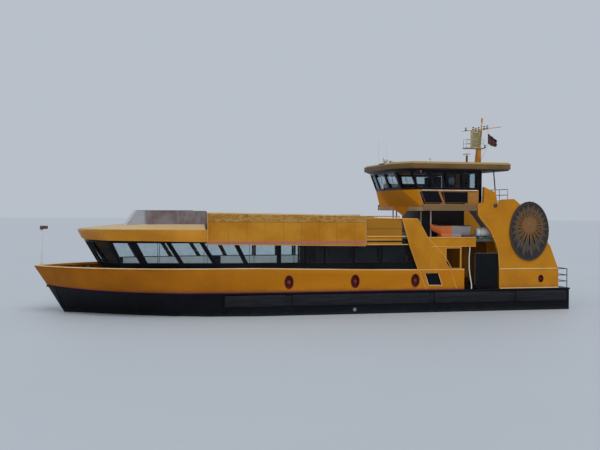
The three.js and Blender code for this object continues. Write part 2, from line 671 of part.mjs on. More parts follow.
// Side fins round the aft deck, with the arch over the gate, the casing's top and a roof post
const finOutline = [
  [gateAftX, deckZ + seat], [-10500, 2300], [-10410, 3340], [-10270, 3800], [-9910, 4530],
  [-9340, 5180], [-9190, 5410], [-9140, 5900], [-9300, 6060], [-9500, 6100], [-9520, 6960], [-10220, 6660],
  [-10320, 6110], [-10470, 6110], [-10680, 6270], [-11330, 6300], [-11650, 6040], [-13600, 3640],
  [-14030, 2550], [-14140, 2360],
  [finAftX, deckZ + seat]];
const medallionX = -12280;
const medallionZ = 4490;
for (const [name, side] of sides) {
  const set = niches([-13050], side, 150, 200);
  const plate = plateY(finOutline, [side * finIn, side * halfBeam]);
  const post = rod([-10360, side * 3740, 6000], [-10170, side * 3740, headZ - 5], 35, 8);
  place(`fin_${name}`, join(cut(join(plate, set.boxes), set.holes), set.posts, post), yellow);
  place(`medallion_${name}`, plateY(
    ellipse(medallionX, medallionZ, 1210, 1680, 32),
    [side * (halfBeam + seat), side * (halfBeam + 60)]), black);
}

// Aft deck roof, the deckhouse below it and the stern rail

const aftRoofX = aftWallX - aftWallThick / 2 - seat;
place('aft_upper_deck', join(
  box([deckAftX - 1, -9050 + seat], [-legIn + seat, legIn - seat], [aftDeckTop - 20, aftDeckTop]),
  box([deckAftX - 1, aftDeckEndX], [-finIn + seat, finIn - seat], [saloonTop - 10, aftDeckTop]),
  box([aftRoofX, aftDeckEndX], [-finIn + seat, finIn - seat], [aftDeckTop - aftDeckThick, aftDeckTop])),
deckGreen);
place('aft_deckhouse', box(
  [-12900, -10900], [-1300, 1300], [deckZ + seat, aftDeckTop - aftDeckThick - seat]), orange);

const sternPosts = [-3800, -2280, -760, 760, 2280, 3800];
const sternX1 = sternX + 60;
const sternTop = 2320;
place('stern_rail', join(
  sternPosts.map((y) => rod([sternX1, y, deckZ + seat], [sternX1, y, sternTop], 24, 8)),
  [1600, 1950, sternTop].map((z) => join(
    rod([sternX1, -3800, z], [sternX1, 3800, z], 20, 8),
    rod([sternX1, 3800, z], [finAftX - 30, 3800, z], 20, 8),
    rod([sternX1, -3800, z], [finAftX - 30, -3800, z], 20, 8)))), steel);

// Boarding ramps, upright in the gates, on pins through lugs at the deck edge
const rampHeight = 1930;
const rampHalfThick = 35;
for (const [name, side] of sides) {
  const [hy, hz] = rampHinge;
  place(`ramp_${name}`, join(
    box(rampX, [-rampHalfThick, rampHalfThick], [60, rampHeight]),
    rod([rampX[0] + 60, 0, 0], [rampX[1] - 60, 0, 0], pinRadius, 12),
    knuckleX.map((x) => join(
      rod([x - 60, 0, 0], [x + 60, 0, 0], 32, 12),
      box([x - 60, x + 60], [-25, 25], [0, 80])))), deckGreen, [0, side * hy, hz]);
}

// Bridge deck with posts and a trunk down to the deck below

const bridgeFloor = bridgeTop - bridgeThick;
const bridgeFore = wholeOutline([[-6060, 0], [-5890, 3690], [-5890, halfBeam], [-9110, halfBeam]]);
const bridgeKeel = wholeOutline([[-6350, 0], [-6450, 2600], [-6700, halfBeam], [-9110, halfBeam]]);
const shelterX = [-9000, -6950];
const bridgePosts = [[-6480, 2100], [-6640, 3200]];
const shelterHalf = 2400;
place('bridge_deck', join(
  loft([atHeight(bridgeKeel, bridgeFloor), atHeight(bridgeFore, bridgeTop)]),
  box([bridgeAftX, -9100], [-finIn + seat, finIn - seat], [bridgeFloor, bridgeTop]),
  bridgePosts.flatMap(([x, y]) => sides.map(([, side]) => rod(
    [x, side * y, aftDeckTop + seat], [x, side * y, bridgeFloor + 20], 40, 8))),
  box(shelterX, [-shelterHalf, shelterHalf], [aftDeckTop + seat, bridgeFloor + 20])), pale);

// Wheelhouse, port half from the bow: y, then x at the floor and at the sill
const wheelhousePoints = [
  [0, -6080, -5340],
  [1930, -6000, -5340],
  [wheelhouseHalf, -5910, -5670],
  [wheelhouseHalf, wheelhouseAftX, wheelhouseAftX],
];
const frontRake = 420;
const cornerRake = 413;
const houseLevel = (level) => wholeOutline(wheelhousePoints.map((point) => [point[level], point[0]]));
const houseSill = wholeOutline(wheelhousePoints.slice(1).map(([y, , x]) => [x, y]));
const houseHead = inset(houseSill, [0, -cornerRake, -frontRake, -cornerRake, 0], 0);
const doorSideY = [500, 1300];
const doorSpanZ = [bridgeTop + 50, headZ - 120];
const houseDoor = box([wheelhouseAftX - 200, wheelhouseAftX + 200], doorSideY, doorSpanZ);
const doorPin = [wheelhouseAftX - 20, 1304];
const doorHingeZ = [bridgeTop + 300, bridgeTop + 760];
const doorLugs = doorHingeZ.map((z) => join(
  rod([...doorPin, z - 80], [...doorPin, z - seat], 14, 10),
  box([doorPin[0], wheelhouseAftX + 10], [doorPin[1] + 2, doorPin[1] + 14], [z - 80, z - seat])));
const doorStraps = doorHingeZ.map((z) => join(
  rod([...doorPin, z], [...doorPin, z + 80], 14, 10),
  box([doorPin[0] - 12, doorPin[0] + 8], [1180, doorPin[1]], [z, z + 80]),
  box([doorPin[0] - 12, wheelhouseAftX + 30], [1180, 1260], [z, z + 80])));

// Look-down panes in the side, x at the head and at the foot
const lowPanes = [[-5780, -6760, -7030, -6030], [-7020, -8460, -8500, -7290]];
place('wheelhouse_wall', join(cut(
  ring(houseLevel(1), houseLevel(2), bridgeTop + seat, sillZ, wallThick),
  houseDoor,
  sides.flatMap(([, side]) => lowPanes.map(([a, b, c, d]) => plateY(
    [[a, 6660], [b, 6660], [c, 6000], [d, 6000]], [side * 3500, side * 4000])))), doorLugs), orange);

const housePaneZ = [6900, 7780];
const houseBase = sillZ + seat;
const cutHouse = (i, u) => facetCutter(
  houseSill, houseHead, i, houseBase, headZ, housePaneZ, u);
const sideShares = [[0.02, 0.24], [0.27, 0.49], [0.52, 0.74], [0.77, 0.98]];
const frontShares = [[0.04, 0.48], [0.52, 0.96]];
const houseCutters = [
  ...[0, 4].flatMap((i) => sideShares.map((u) => cutHouse(i, u))),
  ...[1, 3].map((i) => cutHouse(i, [0.08, 0.92])),
  ...frontShares.map((u) => cutHouse(2, u)),
  ...[[0.05, 0.3], [0.7, 0.95]].map((u) => cutHouse(5, u)),
];
place('wheelhouse_window_frame', cut(
  ring(houseSill, houseHead, houseBase, headZ, wallThick), houseDoor, houseCutters), black);
const houseGlassAt = (z) => inset(
  between(houseSill, houseHead, (z - houseBase) / (headZ - houseBase)), wallThick + seat);
place('wheelhouse_glass', cut(
  ring(houseGlassAt(6850), houseGlassAt(7830), 6850, 7830, 12),
  box([wheelhouseAftX - 200, wheelhouseAftX + 300], [460, 1340], [bridgeTop, headZ])), glass);
place('wheelhouse_door', join(box(
  [wheelhouseAftX + 12, wheelhouseAftX + 52], doorSideY.map((y) => y + swing * Math.sign(900 - y)),
  doorSpanZ.map((z) => z + swing * Math.sign(6800 - z))), doorStraps), orange);

// Wheelhouse roof: x and y of its edge, port half from the bow
const roofPoints = [[-4530, 2600], [-5250, 4000], [-11090, 4000]];
const roofOutline = wholeOutline(roofPoints);
const roofLevels = [[250, headZ + seat], [0, 7990], [0, 8240], [160, 8350]];
place('wheelhouse_roof', loft(roofLevels.map(
  ([by, z]) => atHeight(inset(roofOutline, by, Math.min(by, 20)), z))), yellow);

place('helm', join(
  box([-7300, -6320], [-260, 260], [bridgeTop + seat, bridgeTop + 40]),
  box([-6650, -6320], [-1500, 1500], [bridgeTop + seat, bridgeTop + 800]),
  plateY([[-6650, bridgeTop + 750], [-5950, bridgeTop + 750], [-5950, bridgeTop + 1000],
    [-6650, bridgeTop + 850]], [-1500, 1500]),
  rod([-7000, 0, bridgeTop + 30], [-7000, 0, bridgeTop + 560], 50, 12),
  box([-7250, -6750], [-260, 260], [bridgeTop + 540, bridgeTop + 640]),
  box([-7300, -7200], [-240, 240], [bridgeTop + 560, bridgeTop + 1250])), grey);

// Mast on the wheelhouse roof

const roofTop = 8350 + seat;
const radarX = -10200;
const radarZ = 8950;
place('mast', join(
  plateY([[-11060, roofTop], [-10760, roofTop], [-10860, 9380], [-11060, 9380]], [-160, 160]),
  box([-11240, -10030], [-260, 260], [9370, 9430]),
  rod([-10990, 0, 9300], [-11180, 0, 11050], 45, 10, 25),
  rod([-10050, 0, 10440], [-12380, 0, 10740], 22, 8),
  rod([-10480, 0, 9400], [-10480, 0, 10470], 22, 8),
  rod([radarX, 0, roofTop], [radarX, 0, radarZ], 60, 12),
  box([-11050, radarX], [-60, 60], [roofTop, roofTop + 20]),
  rod([-11140, -900, 10520], [-11140, 900, 10520], 20, 8),
  rod([-11160, 0, 11000], [-11180, 0, 11250], 60, 10),
  path([[-11570, 0, 10640], [-11570, 0, 9600], [-11040, 0, 8500]], 8, 6)), yellow);

place('radar_scanner', join(
  box([-60, 60], [-480, 480], [60, 150]),
  rod([0, 0, 0], [0, 0, 80], 55, 12)), white, [radarX, 0, radarZ + seat]);

place('whip_antennas', join(
  rod([-4600, 0, roofTop], [-4600, 0, 9800], 10, 6),
  rod([-4750, 1000, roofTop], [-4750, 1000, 9500], 10, 6),
  box([-4790, -4560], [-40, 1040], [roofTop, roofTop + 20])), white);

place('flag', box([-12160, -11577.3], [-6, 6], [9640, 10310]), paint(0x5a1a22, 0.9));

// Safety gear on the after upper deck

for (const [name, side] of sides) {
  const y = side * 3200;
  place(`liferaft_${name}`, join(
    box([-10100, -9450], [y - 250, y + 250], [aftDeckTop + seat, aftDeckTop + 120]),
    rod([-10190, y, aftDeckTop + 340], [-9350, y, aftDeckTop + 340], 270, 16)), white);
}
const boatY = 3350;
const boatZ = 4230;
place('rescue_boat', join(
  box([-8300, -7100], [boatY - 300, boatY + 300], [aftDeckTop + seat, boatZ + 100]),
  loft([[-8860, 330, 0, 560], [-8000, 420, 0, 540], [-7200, 400, 20, 560], [-6560, 60, 330, 620]].map(
    ([x, half, low, high]) => [
      [x, boatY - half * 0.45, boatZ + low], [x, boatY + half * 0.45, boatZ + low],
      [x, boatY + half, boatZ + high], [x, boatY - half, boatZ + high]]))), orange);

// Propellers turn on their shafts; the shafts leave the hull at the stern tubes

const bladeCount = 4;
const propeller = (hand) => {
  const disc = rod([-200, 0, 0], [200, 0, 0], propRadius, 32);
  const blades = Array.from({ length: bladeCount }, (_, i) => {
    const geometry = new THREE.BoxGeometry(36, 300, 440);
    geometry.rotateZ(hand * rad(30));
    geometry.translate(0, 0, 290);
    return solid(geometry.rotateX((i / bladeCount) * Math.PI * 2));
  });
  return join(
    join(blades).intersect(disc),
    rod([-160, 0, 0], [120, 0, 0], 90, 16),
    rod([-260, 0, 0], [-150, 0, 0], 40, 16, 88),
    rod([100, 0, 0], [shaftLength, 0, 0], shaftRadius, 16));
};
for (const [name, side] of sides) {
  const line = new THREE.Group();
  line.position.set(propX, side * shaftY, propZ);
  line.rotation.y = -rad(shaftTilt);
  ferry.add(line);
  place(`propeller_${name}`, propeller(side), bronze, [0, 0, 0], line);
}

// Rudders hang on their stocks behind the propellers

const rudderPlan = [
  [260, 0], [200, 50], [0, 70], [-300, 45], [-560, 10], [-560, -10], [-300, -45], [0, -70], [200, -50]];
const rudderBlade = join(
  plateZ(rudderPlan, [-1600, -450]),
  rod([0, 0, -500], [0, 0, stockTop], stockRadius, 16));
for (const [name, side] of sides) {
  place(`rudder_${name}`, rudderBlade, black, [rudderX, side * shaftY, 0]);
}

// Engines stand in the engine room, under the hatch in the lobby deck

for (const [name, side] of sides) {
  place(`engine_${name}`, box([-8850, -7050], [side * 600, side * 1450], [wellFloor + seat, 450]), grey);
}
const lidZ = deckZ + seat;
place('engine_hatch', join(
  box([wellX[0] - 60, wellX[1] + 60], [-wellHalf - 60, wellHalf + 60], [lidZ, lidZ + 50]),
  hinge(wellX[1] + 80, 0, lidZ + 26, 1200),
  box([wellX[1] + 40, wellX[1] + 80], [-600, 600], [lidZ + 8, lidZ + 44])), deckGreen);

export default ferry;
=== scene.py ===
"""Harbour passenger ferry: finishes, trim, fittings and the view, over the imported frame."""

import json
from functools import partial
from math import atan2, cos, pi, radians, sin

import bmesh
import bpy
from mathutils import Matrix, Vector
from mathutils.geometry import intersect_line_line

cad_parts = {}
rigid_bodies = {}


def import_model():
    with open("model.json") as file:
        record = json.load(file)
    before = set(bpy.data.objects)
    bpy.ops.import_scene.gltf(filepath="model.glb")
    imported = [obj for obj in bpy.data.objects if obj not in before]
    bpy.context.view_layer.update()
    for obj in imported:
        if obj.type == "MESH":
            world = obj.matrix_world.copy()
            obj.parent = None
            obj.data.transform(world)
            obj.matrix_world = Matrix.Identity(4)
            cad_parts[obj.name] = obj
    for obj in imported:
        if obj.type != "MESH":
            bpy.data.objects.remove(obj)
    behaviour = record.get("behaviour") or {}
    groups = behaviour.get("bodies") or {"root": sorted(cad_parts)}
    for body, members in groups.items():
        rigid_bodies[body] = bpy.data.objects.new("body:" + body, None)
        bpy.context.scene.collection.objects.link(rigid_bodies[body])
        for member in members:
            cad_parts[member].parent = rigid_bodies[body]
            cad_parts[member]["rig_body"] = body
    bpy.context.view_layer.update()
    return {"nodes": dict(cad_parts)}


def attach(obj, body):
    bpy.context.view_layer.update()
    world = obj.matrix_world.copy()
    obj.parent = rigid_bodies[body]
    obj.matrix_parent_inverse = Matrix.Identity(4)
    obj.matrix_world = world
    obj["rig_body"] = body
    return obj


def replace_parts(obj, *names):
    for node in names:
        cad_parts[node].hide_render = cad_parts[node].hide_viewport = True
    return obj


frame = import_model()
solids = frame["nodes"]
SIDES = (("port", 1), ("starboard", -1))

# View from the quay: the photograph's standpoint, with a longer lens

EYE = Vector((11.504, 48.930, 5.739))
AIM = Vector((0.15, 0.0, 4.75))
ROLL = 0.005


def set_view():
    lens = bpy.data.cameras.new("quay_view")
    lens.lens = 52.0
    lens.sensor_width = 36.0
    lens.clip_end = 1200
    view = bpy.data.objects.new("quay_view", lens)
    turn = (AIM - EYE).to_track_quat("-Z", "Y").to_matrix().to_4x4()
    view.matrix_world = Matrix.Translation(EYE) @ turn @ Matrix.Rotation(ROLL, 4, "Z")
    bpy.context.scene.collection.objects.link(view)
    bpy.context.scene.camera = view


set_view()

# Shader building


def feed(socket, value):
    """Sets a socket, a colour of three numbers being opaque, or links another socket to it."""
    if isinstance(value, bpy.types.NodeSocket):
        socket.id_data.links.new(value, socket)
    else:
        socket.default_value = (*value, 1) if socket.type == "RGBA" else value


def add(tree, kind, **inputs):
    node = tree.nodes.new(kind)
    feed_all(node, inputs)
    return node


def feed_all(node, inputs):
    for key, value in inputs.items():
        feed(node.inputs[key.replace("_", " ")], value)


def maths(operation, a, b=0.0):
    tree = (a if isinstance(a, bpy.types.NodeSocket) else b).id_data
    node = tree.nodes.new("ShaderNodeMath")
    node.operation = operation
    feed(node.inputs[0], a)
    feed(node.inputs[1], b)
    return node.outputs[0]


times = partial(maths, "MULTIPLY")
plus = partial(maths, "ADD")
minus = partial(maths, "SUBTRACT")
above = partial(maths, "GREATER_THAN")
below = partial(maths, "LESS_THAN")
repeating = partial(maths, "PINGPONG")


def within(value, low, high):
    return times(above(value, low), below(value, high))


def blended(factor, a, b):
    node = factor.id_data.nodes.new("ShaderNodeMix")
    node.data_type = "RGBA"
    for k, value in ((0, factor), (6, a), (7, b)):
        feed(node.inputs[k], value)
    return node.outputs[2]


def span(value, low, high, out_low=0.0, out_high=1.0):
    node = value.id_data.nodes.new("ShaderNodeMapRange")
    node.interpolation_type = "SMOOTHSTEP"
    for socket, given in zip(node.inputs, (value, low, high, out_low, out_high)):
        feed(socket, given)
    return node.outputs[0]


def noise(vector, scale, detail=3.0, roughness=0.55):
    node = add(vector.id_data, "ShaderNodeTexNoise", Vector=vector, Scale=scale, Detail=detail,
               Roughness=roughness)
    return node.outputs["Fac"]


def stretched(vector, scale):
    return add(vector.id_data, "ShaderNodeMapping", Vector=vector, Scale=scale).outputs[0]


def split(vector):
    return add(vector.id_data, "ShaderNodeSeparateXYZ", Vector=vector).outputs


def object_place(tree):
    return tree.nodes.new("ShaderNodeTexCoord").outputs["Object"]


def effect(build, *outputs, **inputs):
    """A shader group: build gets the place and a socket for each input, and returns each output."""
    tree = bpy.data.node_groups.new(build.__name__, "ShaderNodeTree")
    for key, value in inputs.items():
        tree.interface.new_socket(key.replace("_", " "), in_out="INPUT",
                                  socket_type="NodeSocketFloat").default_value = value
    for label in outputs:
        tree.interface.new_socket(label, in_out="OUTPUT", socket_type="NodeSocketFloat")
    start, end = tree.nodes.new("NodeGroupInput"), tree.nodes.new("NodeGroupOutput")
    for label, result in zip(outputs, build(object_place(tree), *start.outputs[:len(inputs)])):
        feed(end.inputs[label], result)
    return tree


def welded_plating(place, frame_gap, plate_gap, dish):
    """Welded plates over frames: weld beads, and plates that dish between the frames."""
    x, y, z = split(place)
    across = span(repeating(x, times(frame_gap, 0.5)), 0.0, 0.28)
    hollow = times(across, span(repeating(z, 0.28), 0.0, 0.26))
    uneven = span(noise(place, 0.7, 1.0), 0.35, 0.7)
    butt = span(repeating(x, times(plate_gap, 0.5)), 0.007, 0.0)
    strake = span(repeating(plus(z, 0.31), 0.55), 0.006, 0.0)
    beads = maths("MAXIMUM", butt, strake)
    return [plus(times(times(times(hollow, uneven), dish), -1.0), times(beads, 0.0016)), beads]


def rain_streaks(place, density, cover):
    """Rain and rust runs down a wall."""
    fine = noise(stretched(place, (3.4, 3.4, 0.22)), density, 4.0, 0.6)
    broad = noise(stretched(place, (0.8, 0.8, 0.5)), 1.0, 2.0)
    level = minus(1.0, cover)
    return [times(span(fine, times(level, 0.95), plus(level, 0.28)), span(broad, 0.3, 0.66))]


def rust_spots(place, scale, cover):
    """Small chipped and rusted spots that gather in patches."""
    level = minus(0.86, times(cover, 0.3))
    sharp = span(noise(place, scale, 6.0, 0.68), level, plus(level, 0.04))
    return [times(sharp, span(noise(place, 0.9, 2.0), 0.42, 0.6))]


def faded_paint(place, scale, grain):
    """Slow fading of paint with a fine grain on it."""
    return [span(noise(place, scale, 5.0, 0.6), 0.3, 0.7), noise(place, grain, 2.0)]


def low_ragged_band(place, low, high):
    """Full below one height and gone above another, with a ragged edge."""
    ragged = times(minus(noise(place, 2.6, 5.0), 0.5), 0.35)
    return [span(plus(split(place)[2], ragged), high, low)]


def niche_inside(place, centre, height, half_length, half_height, skin):
    """Inside an upright oval in the side, on both sides of the ship, short of the outer skin."""
    x, y, z = split(place)
    u = maths("DIVIDE", minus(x, centre), half_length)
    v = maths("DIVIDE", minus(z, height), half_height)
    inside = below(plus(times(u, u), times(v, v)), 1.0)
    return [times(inside, below(maths("ABSOLUTE", y), skin))]


PLATING = effect(welded_plating, "Height", "Seam", Frame=0.6, Plate=2.4, Dish=0.003)
STREAKS = effect(rain_streaks, "Mask", Density=3.0, Cover=0.5)
CHIPS = effect(rust_spots, "Mask", Scale=9.0, Cover=0.3)
CLOUDY = effect(faded_paint, "Fade", "Grain", Scale=0.5, Grain=60.0)
BAND = effect(low_ragged_band, "Mask", Low=0.0, High=0.4)
OVAL = effect(niche_inside, "Mask", Centre=0.0, Height=1.78, Half_Length=0.27, Half_Height=0.39, Skin=3.93)
RUST = (0.115, 0.036, 0.012)


def use(place, group, **inputs):
    """The outputs of an effect, in the material that a place socket belongs to."""
    node = place.id_data.nodes.new("ShaderNodeGroup")
    node.node_tree = group
    feed_all(node, inputs)
    return node.outputs


def surface(name, roughness=0.5, metallic=0.0, **fixed):
    """A new material and the socket that gives its place on the object."""
    material = bpy.data.materials.new(name)
    material.use_nodes = True
    feed_all(shader_of(material), {"Roughness": roughness, "Metallic": metallic, **fixed})
    return material, object_place(material.node_tree)


def shader_of(material):
    return material.node_tree.nodes["Principled BSDF"]


def dress(material, tone, rough=None, height=None):
    """Gives a material its colour, roughness and bump."""
    shader = shader_of(material)
    feed(shader.inputs["Base Color"], tone)
    if rough is not None:
        feed(shader.inputs["Roughness"], rough)
    if height is not None:
        bump = add(material.node_tree, "ShaderNodeBump", Strength=1.0, Distance=1.0, Height=height)
        feed(shader.inputs["Normal"], bump.outputs[0])
    return material


def painted(name, light, dark, roughness=0.42, dish=0.0, streaks=0.3, chips=0.2, stain=(0.10, 0.06, 0.03),
            foot_band=None, lining=(), coat=0.0, zones=(), gloss=0.4, lit_half_breadth=None, aft=None):
    """Ship's paint over plate: faded, run with rain and rust, and chipped.

    The colour that fades in below a height is growth at the hull's waterline, and a darker foot on the
    yellow paint. Linings colour the insides of oval niches, and zones colour boxes of length and height,
    some of them as painted light and shade. The colour within a half breadth is painted light that
    brightens the wheelhouse front, and the colour that the paint turns to between two lengths is painted
    light that brightens the side towards the stern.
    """
    material, place = surface(name, Coat_Weight=coat, Coat_Roughness=0.25, Specular_IOR_Level=gloss)
    cloudy = use(place, CLOUDY)
    tone = blended(cloudy["Fade"], dark, light)
    rough = span(cloudy["Grain"], 0.3, 0.7, roughness - 0.05, roughness + 0.09)
    x, y, z = split(place)
    # Painted light: the paint brightens towards the stern, standing in for the after part of the side being
    # better lit.
    if aft:
        x_fore, x_aft, colour = aft
        tone = blended(span(x, x_aft, x_fore, 1.0, 0.0), tone, colour)
    # Painted light: within a half breadth the paint is brighter, lighting a front that the overhang shades.
    if lit_half_breadth:
        half, colour = lit_half_breadth
        tone = blended(within(y, -half, half), tone, colour)
    for x_low, x_high, z_low, z_high, colour in zones:
        tone = blended(times(within(x, x_low, x_high), within(z, z_low, z_high)), tone, colour)
    if streaks:
        runs = use(place, STREAKS, Cover=streaks)["Mask"]
        tone = blended(times(runs, 0.55), tone, stain)
        rough = plus(rough, times(runs, 0.18))
    for centre, height, half_x, half_z, red in lining:
        inside = use(place, OVAL, Centre=centre, Height=height, Half_Length=half_x, Half_Height=half_z)
        tone = blended(inside["Mask"], tone, red)
    # Colour below a height: growth at the hull's waterline, and a darker foot on the yellow paint.
    if foot_band:
        low, high, colour = foot_band
        tone = blended(times(use(place, BAND, Low=low, High=high)["Mask"], 0.8), tone, colour)
    if chips:
        spots = use(place, CHIPS, Cover=chips)["Mask"]
        tone = blended(spots, tone, RUST)
        rough = plus(rough, times(spots, 0.3))
    height = times(cloudy["Grain"], 0.0004)
    if dish:
        plates = use(place, PLATING, Dish=dish)
        height = plus(height, plates["Height"])
        tone = blended(times(plates["Seam"], 0.28), tone, stain)
    return dress(material, tone, rough, height)


NICHE_RED = (0.16, 0.022, 0.014)
AMBER = (0.57, 0.228, 0.006)
AMBER_DARK = (0.45, 0.165, 0.005)
# Painted shade: the side ambers are a darker copy of the fins' amber paint.
SHADED_AMBER_SIDE = (0.39, 0.132, 0.002)
SHADED_AMBER_SIDE_DARK = (0.29, 0.090, 0.001)
# Painted highlight: a pale bone colour for the crown of the roof band, where it turns up to the light.
CROWN_HIGHLIGHT = (0.60, 0.43, 0.22)
FAR = 99.0
side_niches = [(x, 1.78, 0.262, 0.382, NICHE_RED) for x in (1.65, -2.02, -5.47)]
fin_niche = [(-13.05, 1.78, 0.182, 0.232, NICHE_RED)]

# Painted light and shade: a shaded copy of the amber forward, brightening towards the stern as painted light.
yellow_side = painted("weathered_yellow_side_painted_light", SHADED_AMBER_SIDE, SHADED_AMBER_SIDE_DARK, dish=0.004, streaks=0.42,
                      chips=0.3, lining=side_niches, foot_band=(1.2, 1.50, (0.25, 0.088, 0.022)), coat=0.02,
                      gloss=0.12, aft=(11.0, -3.0, (0.52, 0.185, 0.004)))
yellow_fin = painted("weathered_yellow_fin", AMBER, AMBER_DARK, dish=0.003, streaks=0.4, chips=0.3,
                     lining=fin_niche, foot_band=(1.2, 1.55, (0.30, 0.10, 0.01)), coat=0.05, gloss=0.16,
                     zones=[(-10.42, -10.1, 6.85, FAR, (0.012, 0.012, 0.013))])
yellow_plain = painted("faded_yellow", (0.60, 0.25, 0.009), AMBER_DARK, coat=0.05, gloss=0.16)
# Painted highlight: the crown of the band at the front is painted bone-pale.
yellow_band = painted("roof_band_yellow", (0.64, 0.27, 0.02), (0.50, 0.19, 0.01), dish=0.002, streaks=0.34,
                      chips=0.15, gloss=0.2, zones=[
                          (5.9, FAR, 4.575, 4.9, CROWN_HIGHLIGHT), (11.85, FAR, 4.53, 4.9, CROWN_HIGHLIGHT),
                          (12.3, FAR, 4.487, 4.9, CROWN_HIGHLIGHT), (-4.75, -2.6, 4.1, 5.3, (0.36, 0.15, 0.008))])
sunlit_edge = painted("sunlit_yellow_edge", (0.74, 0.42, 0.09), (0.60, 0.30, 0.05))
mast_paint = painted("mast_paint", (0.74, 0.33, 0.03), AMBER_DARK, chips=0.25, zones=[
    (-10.35, FAR, 8.3, 9.36, (0.10, 0.022, 0.020)), (-11.3, FAR, 9.36, 9.44, (0.30, 0.16, 0.07))])
# Painted light and shade: paler above 8.215 m, where the top faces the sky, and near-black between 7.0 and
# 7.95 m under the overhang.
roof_paint = painted("weathered_roof_painted_light_and_shade", (0.21, 0.115, 0.04), (0.14, 0.075, 0.028), 0.5, streaks=0.5,
                     gloss=0.2, zones=[(-FAR, FAR, 8.215, FAR, (0.38, 0.26, 0.09)),
                                       (-FAR, FAR, 7.0, 7.95, (0.04, 0.028, 0.024))])
orange_wall = painted("amber_wall", (0.80, 0.27, 0.012), (0.66, 0.21, 0.009), 0.7, dish=0.002, chips=0.15,
                      gloss=0.06)
# Painted light: the wheelhouse front, within the half breadth, is painted a brighter amber than the sides.
bridge_wall = painted("wheelhouse_wall_paint", (0.46, 0.21, 0.055), (0.38, 0.16, 0.035), 0.7, dish=0.002,
                      chips=0.15, gloss=0.06, lit_half_breadth=(3.675, (0.84, 0.29, 0.012)))
hull_black = painted("tarred_black_hull", (0.006, 0.0065, 0.011), (0.003, 0.0035, 0.006), 0.4, dish=0.004,
                     streaks=0.22, chips=0.25, stain=(0.045, 0.038, 0.036), gloss=0.12,
                     foot_band=(0.02, 0.22, (0.016, 0.020, 0.013)))
frame_black = painted("gloss_black_frame", (0.006, 0.0065, 0.009), (0.003, 0.003, 0.005), 0.3, streaks=0.15,
                      chips=0.0, stain=(0.02, 0.02, 0.02), coat=0.02, gloss=0.08)
black_trim = painted("black_trim", (0.02, 0.02, 0.024), (0.01, 0.01, 0.013), 0.4, streaks=0.2, gloss=0.2)
# Painted shade: the bridge deck is near-black under its shelter, between lengths -9.05 and -6.90.
pale_cream = painted("pale_cream", (0.24, 0.145, 0.075), (0.17, 0.10, 0.05), streaks=0.4, chips=0.25,
                     gloss=0.2, zones=[(-9.05, -6.90, 4.0, 5.628, (0.03, 0.022, 0.02)),
                                       (-6.75, -6.40, 4.0, 5.60, (0.62, 0.52, 0.46))])
# The pale colour of these edge strips is partly painted highlight, light caught along the edges, and partly
# wear.
pale_edge = painted("worn_and_highlit_pale_edge", (0.78, 0.62, 0.36), (0.66, 0.44, 0.16), 0.5, chips=0.4)
white_paint = painted("white_enamel", (0.78, 0.78, 0.74), (0.62, 0.61, 0.56), 0.34, chips=0.25, coat=0.3)
grey_paint = painted("machine_grey", (0.24, 0.255, 0.265), (0.17, 0.18, 0.19), 0.48, streaks=0.25)
# Painted shade and reflection: a brown sheet that darkens the front corner panes.
shade_sheet = painted("brown_painted_shade", (0.060, 0.038, 0.032), (0.035, 0.024, 0.022), 0.8, chips=0.0)
# Painted shade: near-black panelling for the service rooms, the far room's front and the wheelhouse cabinets,
# standing in for the shade inside them.
shade_black_room = painted("near_black_painted_shade", (0.010, 0.010, 0.014), (0.006, 0.006, 0.009), 0.6, streaks=0.1,
                    chips=0.0, gloss=0.04)
red_line = painted("oxide_red_line", (0.28, 0.035, 0.02), (0.17, 0.02, 0.012), 0.5, chips=0.3)
glowing_lining = painted("pale_lining_painted_glow", (0.72, 0.74, 0.75), (0.62, 0.64, 0.65), 0.6, streaks=0.0, chips=0.0)
# Painted glow: the lining gives off light of its own, though it is no lamp, to lighten the far side of the
# saloon seen through the windows.
feed_all(shader_of(glowing_lining), {"Emission Color": (0.62, 0.72, 0.80), "Emission Strength": 0.25})
lattice_paint = painted("olive_yellow_mast", (0.42, 0.38, 0.16), (0.34, 0.26, 0.08))
chin_bone = painted("chin_bone", (0.66, 0.40, 0.24), (0.52, 0.30, 0.17), 0.6, gloss=0.2)
niche_red = painted("niche_red", (0.22, 0.03, 0.018), (0.12, 0.015, 0.01), 0.55, streaks=0.2, chips=0.4)
ramp_green = painted("green_black_ramp", (0.007, 0.009, 0.010), (0.004, 0.005, 0.006), 0.5, streaks=0.35,
                     chips=0.3, stain=(0.05, 0.04, 0.03), gloss=0.08)
ceiling_white = painted("ceiling_panels", (0.60, 0.60, 0.56), (0.52, 0.51, 0.47), 0.5, streaks=0.0, chips=0.0)


def deck_coating():
    """Non-slip deck paint: coarse grit, worn ways and rust at the seams."""
    material, place = surface("nonslip_deck", 0.85)
    cloudy = use(place, CLOUDY, Scale=0.9, Grain=140.0)
    tone = blended(cloudy["Fade"], (0.050, 0.068, 0.060), (0.088, 0.106, 0.094))
    grit = add(place.id_data, "ShaderNodeTexVoronoi", Vector=place, Scale=90.0).outputs["Distance"]
    tone = blended(span(grit, 0.45, 0.2, 0.0, 0.35), tone, (0.14, 0.16, 0.15))
    tone = blended(use(place, CHIPS, Cover=0.35)["Mask"], tone, RUST)
    return dress(material, tone, height=times(grit, 0.002))


def fender_rubber():
    """Weathered rubber: scuffed pale along the blocks, cut and dusty."""
    material, place = surface("fender_rubber", 0.8, Specular_IOR_Level=0.2)
    scuff = noise(stretched(place, (0.5, 1.0, 9.0)), 1.6, 6.0, 0.65)
    tone = blended(span(scuff, 0.35, 0.72), (0.006, 0.0065, 0.009), (0.022, 0.024, 0.030))
    return dress(material, tone, span(scuff, 0.2, 0.8, 0.6, 0.92), times(scuff, 0.004))


